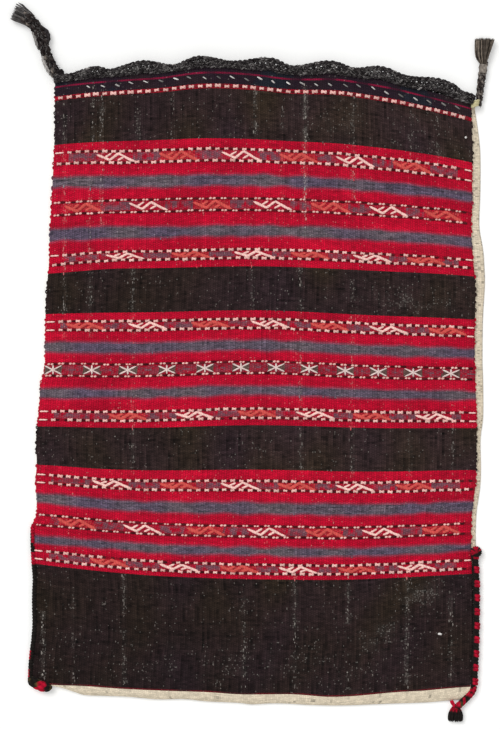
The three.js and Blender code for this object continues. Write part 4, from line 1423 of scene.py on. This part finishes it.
    def knot(self, foot):
        """Cream yarn that ties the right tie to the corner of the mouth."""
        skein = Skein()
        spin = np.linspace(-1, 1, KNOT_POINTS)[:, None]
        for place, half in enumerate(KNOT_TURNS):
            middle = foot + (KNOT_FIRST + place * KNOT_STEP) * MM
            turn = half * spin
            ring = np.array((1, 0.35, 0)) * np.sin(turn) + np.array((0, 0, 0.9)) * np.cos(turn)
            tone = np.array(self.yarn.knot) * self.chance.uniform(0.8, 1.05)
            height = 2.0 * MM * rounded(KNOT_POINTS, 0.2)
            skein.lay(middle + KNOT_RADIUS * ring, 2.3 * MM, height, tone, normal=(0.3, 1, 0))
        return skein


class FEEDBAG_OT_cloth(bpy.types.Operator):
    """The folded cloth with its bands, and the weft turns along its edges"""

    bl_idname = "feedbag.cloth"
    bl_label = "Cloth"

    def execute(self, context):
        cloth, brocade = context.scene.feed_bag.cloth, context.scene.feed_bag.brocade
        rib = cloth.warp_spacing / MM
        # Weft-faced wool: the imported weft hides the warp, so it shows ribs of small rounded stitches
        front = woven_wool(
            "weft_faced_wool",
            rib,
            pick=1.8,
            contrast=0.14,
            groove_shade=0.32,
            relief=0.7,
            warp=brocade.worn,
        )
        # Plain-woven undyed wool: both yarns show, drawn coarser than they are so that they show at all
        back = woven_wool(
            "plain_undyed_wool",
            rib * 0.8,
            pick=1.9,
            contrast=0.1,
            groove_shade=0.16,
            relief=0.4,
            warp=cloth.cream,
        )
        piece = cloth_skin(cloth, brocade).make("bag_cloth", [front, back])
        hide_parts("bag_cloth")
        turns = self.weft_turns(cloth, brocade)
        return {"FINISHED"}

    def weft_turns(self, cloth, brocade):
        """Small loops where the weft turns round the outer warp at each side of the front."""
        chance = random.Random(5)
        dye = ClothDye(cloth, brocade)
        skein = Skein()
        for side, end in ((-1, LEFT_BINDING_START), (1, RIGHT_BINDING_START)):
            along = 2 * MM
            while along < end:
                band = next(band for band in bands() if along < band.start + band.width)
                edge = left_edge(along) if side < 0 else right_edge(along)
                shade = np.array(cloth.red) if band.kind == "brocade" else dye.stitch(band, edge, along)
                out = chance.uniform(-1.0, 0.5)
                across = side * np.array([TURN_INSIDE, out, out, TURN_INSIDE]) * MM
                half = chance.uniform(0.7, 1.5)
                down = along + np.array([-1.3 * half, -half, half, 1.3 * half]) * MM
                loop = np.stack([edge + across, weft_height(0.5 + 0.5 * side, down), TURN_HEIGHTS], axis=-1)
                thick = chance.uniform(1.2, 1.8) * MM
                skein.lay(smooth_line(loop, 1.3 * MM), thick, thick, shade * chance.uniform(0.75, 1.0))
                along += chance.uniform(2.6, 5.8) * MM
        # Weft wool: the front's own yarn, seen singly where it turns
        wool = spun_yarn("weft_wool", plies=1, twist=5 * MM, contrast=0.25, relief=0.4)
        return skein.make("weft_turns", wool)


class FEEDBAG_OT_brocade(bpy.types.Operator):
    """The dotted lines, hooks and stars, the hem's stitches and the worn warps on the front"""

    bl_idname = "feedbag.brocade"
    bl_label = "Brocade and stitches"

    def execute(self, context):
        brocade, cloth = context.scene.feed_bag.brocade, context.scene.feed_bag.cloth
        # Brocade wool: thicker than the weft and wrapped round the warps, so it stands up and shows twist
        wool = spun_yarn("brocade_wool", plies=2, twist=3 * MM, contrast=0.16, relief=0.4)
        self.dots(brocade, cloth, wool)
        self.motifs(brocade, wool)
        self.hem(brocade, wool)
        self.worn(brocade, cloth, wool)
        return {"FINISHED"}

    def dots(self, brocade, cloth, wool):
        """The dotted lines of the border and of the brocaded bands."""
        chance = random.Random(31)
        skein = Skein()
        for band in bands():
            if band.kind == "border":
                middle = band.start + band.width / 2
                lay_dots(skein, middle, "bows", brocade, cloth.foot_line, BORDER_STOUT, 0, chance)
            elif band.kind == "brocade":
                kind = BROCADE[band.brocade][0]
                dashes = DASHED_ENDS if kind == "bows" else 0
                for along in (band.start + DOT_LINE, band.start + band.width - DOT_LINE):
                    lay_dots(skein, along, kind, brocade, brocade.dot_ground, 1.0, dashes, chance)
        skein.make("brocade_dots", wool)

    def motifs(self, brocade, wool):
        """The hooks and stars of the brocaded bands."""
        chance = random.Random(37)
        hooks, stars = Skein(), Skein()
        for band in bands():
            if band.kind != "brocade":
                continue
            _, first, middles = BROCADE[band.brocade]
            along = band.start + band.width / 2
            for place, middle in enumerate(middles):
                width, height = brocade.stroke_width, brocade.stroke_height
                if first == "star":
                    size, shade = (STAR_WIDTH, STAR_HEIGHT), brocade.star
                    lay_motif(stars, middle * MM, along, STAR_STROKES, size, width, height, shade, chance)
                    continue
                size = brocade.hook_length, HOOK_SHARE * (band.width - 2 * DOT_LINE - HOOK_MARGIN)
                shade = brocade.cream
                if (first == "cream") != (place % 2 == 0):
                    shade, width = brocade.orange, ORANGE_STOUT * width
                lay_motif(hooks, middle * MM, along, HOOK_STROKES, size, width, height, shade, chance)
        hooks.make("brocade_hooks", wool)
        stars.make("brocade_stars", wool)

    def hem(self, brocade, wool):
        """Slanted white stitches along the hem."""
        chance = random.Random(41)
        skein = Skein()
        x = left_edge(0.0) + HEM_START
        while x < right_edge(0.0) - HEM_END:
            along = chance.uniform(3.6, 6.5) * MM
            reach = chance.uniform(1.4, 2.7) * MM
            widths = np.array([0.7, 1, 1, 0.7]) * chance.uniform(1.2, 1.9) * MM
            tone = np.asarray(brocade.thread) * chance.uniform(0.15, 1.0) * ramp(x, HEM_FADE)
            ends = (x - reach, -HEM_SLANT), (x + reach, HEM_SLANT)
            lay_stroke(skein, ends, along, widths, HEM_HEIGHT, tone, 0.0)
            x += brocade.hem_pitch * chance.uniform(0.9, 1.1)
        skein.make("hem_stitches", wool)

    def worn(self, brocade, cloth, wool):
        """Bits of pale warp that stand out of the worn weft, alone and in lines."""
        self.chance = chance = random.Random(43)
        self.order = list(bands())
        skein = Skein()
        for place, start, end, often in WORN_WARPS:
            along = start * MM
            while along < end * MM:
                if chance.random() < 0.6 * often:
                    x = place * MM + chance.gauss(0, 0.9) * MM
                    size = chance.uniform(1.2, 3.4) * MM
                    self.fleck(skein, x, along, size, often * chance.random(), brocade, cloth)
                along += chance.uniform(1.5, 4.0) * MM
        for _ in range(LONE_FLECKS):
            x, along = chance.uniform(*FLECKS_ACROSS) * MM, chance.uniform(*FLECKS_ALONG) * MM
            size = chance.uniform(0.6, 2.4) * MM
            self.fleck(skein, x, along, size, 0.3 * chance.random() ** 2, brocade, cloth)
        for x, along, size in BRIGHT_SLUBS:
            ends = ((x - size / 2) * MM, -0.4 * MM), ((x + size / 2) * MM, 0.4 * MM)
            lay_stroke(skein, ends, along * MM, SLUB_WIDTHS, SLUB_HEIGHT, brocade.thread, 0.0)
        skein.make("worn_warps", wool)

    def fleck(self, skein, x, along, size, brightness, brocade, cloth):
        """Lays one bit of pale warp, tinged by the weft round it."""
        band = next(band for band in self.order if along < band.start + band.width)
        grounds = {"red": cloth.bright_red, "brocade": cloth.bright_red, "blue": cloth.blue}
        tone = mix(grounds.get(band.kind, cloth.dark), brocade.worn, 0.08 + 0.45 * brightness)
        widths = np.array([0.6, 1, 0.6]) * self.chance.uniform(0.9, 1.8) * MM
        lay_stroke(skein, [(x, 0), (x, size)], along, widths, 0.7 * MM, tone, 0.15 * MM)


class FEEDBAG_OT_edging(bpy.types.Operator):
    """The braided edging round the mouth"""

    bl_idname = "feedbag.edging"
    bl_label = "Mouth edging"

    def execute(self, context):
        yarn = context.scene.feed_bag.yarn
        chance = random.Random(53)
        # Goat hair again, in thicker and more felted strands
        hair = spun_yarn("felted_goat_hair", plies=2, twist=8 * MM, contrast=0.5, relief=0.7)
        self.run_round(yarn, hair, chance, "front_mouth_edging", strands=7, hairs=1200)
        self.run_round(yarn, hair, chance, "back_mouth_edging", strands=5, hairs=200)
        return {"FINISHED"}

    def run_round(self, yarn, hair, chance, node, strands, hairs):
        """Braids one run of the edging along the mouth."""
        share = np.linspace(0.002, 0.998, EDGING_POINTS)
        point, outwards = mouth_line(share)
        if node == "front_mouth_edging":
            thickness = EDGING_THICKNESS
            reach = profile(EDGING_REACH)(point[:, 0])
            height = np.minimum(reach - EDGING_SEAT, EDGING_HEIGHT)
            on_back_run = BACK_EDGING_THICKNESS + 2 * CLEARANCE
            floor = np.maximum(front_rise(share, 0.0) - FRONT_THICKNESS, on_back_run)
        else:
            thickness = BACK_EDGING_THICKNESS
            reach = height = np.full(len(share), BACK_EDGING_HEIGHT)
            floor = np.zeros(len(share))
        middle = point + outwards * (CLEARANCE + reach - height / 2)[:, None]
        line = np.concatenate([middle, (floor + thickness / 2)[:, None]], axis=1)
        strand = yarn.edging_strand
        felted = np.array([1 + 0.2 * waver(place * 180, strands, 9) for place in share])
        skein = Skein()
        lay_braid(
            skein,
            line,
            half_width=(height - strand) / 2,
            half_height=(thickness - strand) / 2 + 0.3 * MM,
            thickness=strand * felted,
            strands=strands,
            period=yarn.edging_period,
            plies=2,
            shades=lambda count: marled(count, yarn, chance, light=0.4, step=4) * EDGING_TONE,
        )
        lay_fuzz(skein, line, height / 2 - 1 * MM, thickness / 2 - 0.2 * MM, hairs, yarn, chance)
        piece = skein.make(node, hair)
        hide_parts(node)


class FEEDBAG_OT_bindings(bpy.types.Operator):
    """The wound bindings of the lower sides, with the left corner's knot and the right corner's tail"""

    bl_idname = "feedbag.bindings"
    bl_label = "Side bindings"

    def execute(self, context):
        self.yarn = context.scene.feed_bag.yarn
        self.chance = random.Random(61)
        # Binding wool: soft, thick and loosely plied
        self.wool = spun_yarn("binding_wool", plies=2, twist=5 * MM, contrast=0.3, relief=0.5)
        self.left()
        self.right()
        return {"FINISHED"}

    def outline(self, across, out, along):
        """A point of the cloth's outer line."""
        x = mix(left_edge(along), right_edge(along), across) + out * side_show(along)
        return np.array((x, weft_height(across, along), BINDING_HEIGHT / 2))

    def overcast(self, skein, line, pitch, width, shade, swell=0.0):
        """Winds one yarn closely round a line. The shade depends on the run and on the turn.

        The line runs down the bag, and the turn starts at its left.
        """
        run = np.arange(0, run_of(line)[-1], pitch / TURN_POINTS)
        line = between(run, run_of(line), line)
        _, aside, _ = ways(line)
        turn = 2 * np.pi * run / pitch
        uneven = np.array([0.06 * waver(place * 150, 3, 12) for place in run])
        size = 1 + uneven + swell * np.cos(2 * np.pi * (run - RED_STITCH * MM) / self.yarn.red_pitch)
        size = size * np.sqrt(np.clip(np.minimum(run, run[-1] - run) / (3 * MM) + 0.1, 0, 1))
        offset = aside * ((width - BINDING_YARN) / 2 * size * np.cos(turn))[:, None]
        offset[:, 2] += (BINDING_HEIGHT - BINDING_YARN) / 2 * size * np.sin(turn)
        tones = np.array([shade(place / MM, spin) for place, spin in zip(run, turn)])
        skein.lay(line + offset, pitch * 1.08, BINDING_YARN, tones, normal=unit(offset))

    def left(self):
        """The left binding, with the knot that it ends in."""
        along = np.linspace(LEFT_BINDING_START, FRONT_LENGTH, BINDING_STOPS)
        points = [self.outline(0, 0, place) for place in along]
        red, black = np.array(self.yarn.red), np.array(self.yarn.black)

        def shade(run, turn):
            side = "outer" if math.cos(turn) > 0.25 else "inner"
            place = run + 1.2 * waver(run * 0.9, turn, 14)
            for start, end, red_side in LEFT_RED:
                if start <= place <= end and red_side in (side, "both"):
                    return red * self.chance.uniform(0.7, 0.95)
            return black

        skein = Skein()
        corner = points[-1] + (0, 0, (KNOT_DIAMETER - BINDING_HEIGHT) / 2)
        knot = smooth_line([corner + np.array((x, y, 0)) * MM for x, y in KNOT_ROUTE], 1.6 * MM)
        thick = KNOT_DIAMETER * rounded(len(knot), 0.35)
        redness = np.interp(np.linspace(0, 1, len(knot)), (0.35, 0.45, 0.7, 0.8), (0, 1, 1, 0))
        lay_twist(skein, knot, thick, 4, 22 * MM, lambda _: self.mixed_wools(redness), sides=8)
        self.overcast(skein, smooth_line(points, 1.1 * MM), LEFT_TURN, LEFT_BINDING_WIDTH, shade)
        piece = skein.make("left_side_binding", self.wool)
        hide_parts("left_side_binding")

    def right(self):
        """The right binding, with a knob where it begins and a tail where it ends."""
        stray = profile(RIGHT_STRAY)
        along = np.linspace(RIGHT_BINDING_START, FRONT_LENGTH, BINDING_STOPS)
        points = [self.outline(1, RIGHT_BINDING_OUT, place) + (stray(place), 0, 0) for place in along]
        corner = points[-1]
        tail = [corner, *(corner + np.array((x, y, 0)) * MM for x, y in TAIL_ROUTE)]
        red, black = np.array(self.yarn.red), np.array(self.yarn.black)
        pitch = self.yarn.red_pitch / MM

        def shade(run, turn):
            from_red = abs((run - RED_STITCH + pitch / 2) % pitch - pitch / 2) / (RED_SHARE * pitch)
            from_outside = math.cos(turn) + 0.7
            if from_red**4 + from_outside**4 < 1:
                return red * self.chance.uniform(0.6, 1.05)
            return black

        skein = Skein()
        line = smooth_line(points, 1.1 * MM)
        self.overcast(skein, line, RIGHT_TURN, RIGHT_BINDING_WIDTH, shade, swell=0.16)
        end = smooth_line(tail, 1.6 * MM)
        lay_twist(
            skein,
            end,
            TAIL_DIAMETER,
            plies=4,
            twist=self.yarn.red_pitch,
            shades=lambda count: self.mixed_wools([TAIL_REDNESS] * count),
            sides=8,
        )
        self.knob(skein, line[0] + KNOB_SHIFT * MM)
        piece = skein.make("right_side_binding", self.wool)
        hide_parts("right_side_binding")
        self.tuft(end[-1])

    def mixed_wools(self, redness):
        """Colours along a strand of black and olive wool that is red as often as told for each place."""
        dark_wools = (self.yarn.black, self.yarn.black, self.yarn.olive)
        tones = []
        for share in redness:
            is_red = self.chance.random() < share
            tones.append(np.array(self.yarn.red if is_red else self.chance.choice(dark_wools)))
        return np.array(tones) * self.chance.uniform(0.7, 1)

    def knob(self, skein, middle):
        """A ball of yarn where the binding begins, red on its upper side."""
        spin = np.linspace(0, 2 * np.pi, 25)
        for place in range(KNOB_RINGS):
            lean = math.pi * (place + 0.3) / KNOB_RINGS
            first = np.array((math.cos(lean), math.sin(lean), 0))
            ring = first * np.cos(spin)[:, None] + np.array((0, 0, 0.75)) * np.sin(spin)[:, None]
            upper = (ring[:, 1] - 0.5 * ring[:, 0] > -0.05)[:, None]
            tones = np.where(upper & (place % 4 != 2), np.array(self.yarn.red) * 0.7, self.yarn.black)
            normal = np.cross(first, (0, 0, 1))
            skein.lay(middle + KNOB_RADIUS * ring, 2.9 * MM, 2.6 * MM, tones, normal=normal)

    def tuft(self, root):
        """Loose ends of the binding's yarns, with red ones at its neck."""
        skein = Skein()
        for place in range(TUFT_LOCKS):
            spread = self.chance.uniform(-1, 1)
            start = root + np.array((spread * TUFT_ROOT, 2.0, self.chance.uniform(-1.5, 1.5))) * MM
            reach = 0.8 * spread**2 - TUFT_LENGTH + self.chance.uniform(-0.5, 0.8)
            end = root + np.array((spread * TUFT_SPREAD, reach, self.chance.uniform(-2.2, 1.8))) * MM
            middle = mix(start, end, 0.5) + np.array((spread * 1.6, 0, 0.5)) * MM
            line = smooth_line([start, middle, end], 2 * MM)
            tones = np.tile(np.array(self.yarn.black), (len(line), 1))
            if place % 4:
                tones[: len(line) * 2 // 5] = np.array(self.yarn.red) * self.chance.uniform(0.3, 1)
            thick = TUFT_LOCK * rounded(len(line), 0.2)
            skein.lay(line, thick, thick, tones)
        for way in TUFT_STUBS:
            end = root + np.array(way) * MM
            stub = smooth_line([root, mix(root, end, 0.6) + (0, 0, 1 * MM), end], 2 * MM)
            thick = STUB_THICKNESS * rounded(len(stub), 0.3)
            skein.lay(stub, thick, thick, self.yarn.red)
        piece = skein.make("right_corner_tuft", self.wool)
        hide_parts("right_corner_tuft")


class FEEDBAG_PT_panel(bpy.types.Panel):
    """Steps that build the feed bag"""

    bl_idname = "FEEDBAG_PT_panel"
    bl_label = "Feed bag"
    bl_space_type = "VIEW_3D"
    bl_region_type = "UI"
    bl_category = "Feed bag"

    def draw(self, context):
        for operator in OPERATORS:
            self.layout.operator(operator.bl_idname)
        for name in ("cloth", "brocade", "yarn", "stage"):
            settings = getattr(context.scene.feed_bag, name)
            box = self.layout.box()
            for prop in settings.__annotations__:
                box.prop(settings, prop)


OPERATORS = (
    FEEDBAG_OT_stage,
    FEEDBAG_OT_ties,
    FEEDBAG_OT_cloth,
    FEEDBAG_OT_brocade,
    FEEDBAG_OT_edging,
    FEEDBAG_OT_bindings,
)
CLASSES = (
    FEEDBAG_PG_cloth,
    FEEDBAG_PG_brocade,
    FEEDBAG_PG_yarn,
    FEEDBAG_PG_stage,
    FEEDBAG_PG_settings,
    *OPERATORS,
    FEEDBAG_PT_panel,
)


def register():
    for part in CLASSES:
        bpy.utils.register_class(part)
    bpy.types.Scene.feed_bag = PointerProperty(type=FEEDBAG_PG_settings)


def unregister():
    del bpy.types.Scene.feed_bag
    for part in reversed(CLASSES):
        bpy.utils.unregister_class(part)


def main():
    register()
    bpy.ops.feedbag.stage()
    bpy.ops.feedbag.ties()
    bpy.ops.feedbag.cloth()
    bpy.ops.feedbag.brocade()
    bpy.ops.feedbag.edging()
    bpy.ops.feedbag.bindings()
    boxes = {"cad": CAD_BOX, "visual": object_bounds()}
    {name: [list(corner) for corner in box] for name, box in boxes.items()}


if __name__ == "__main__":
    main()
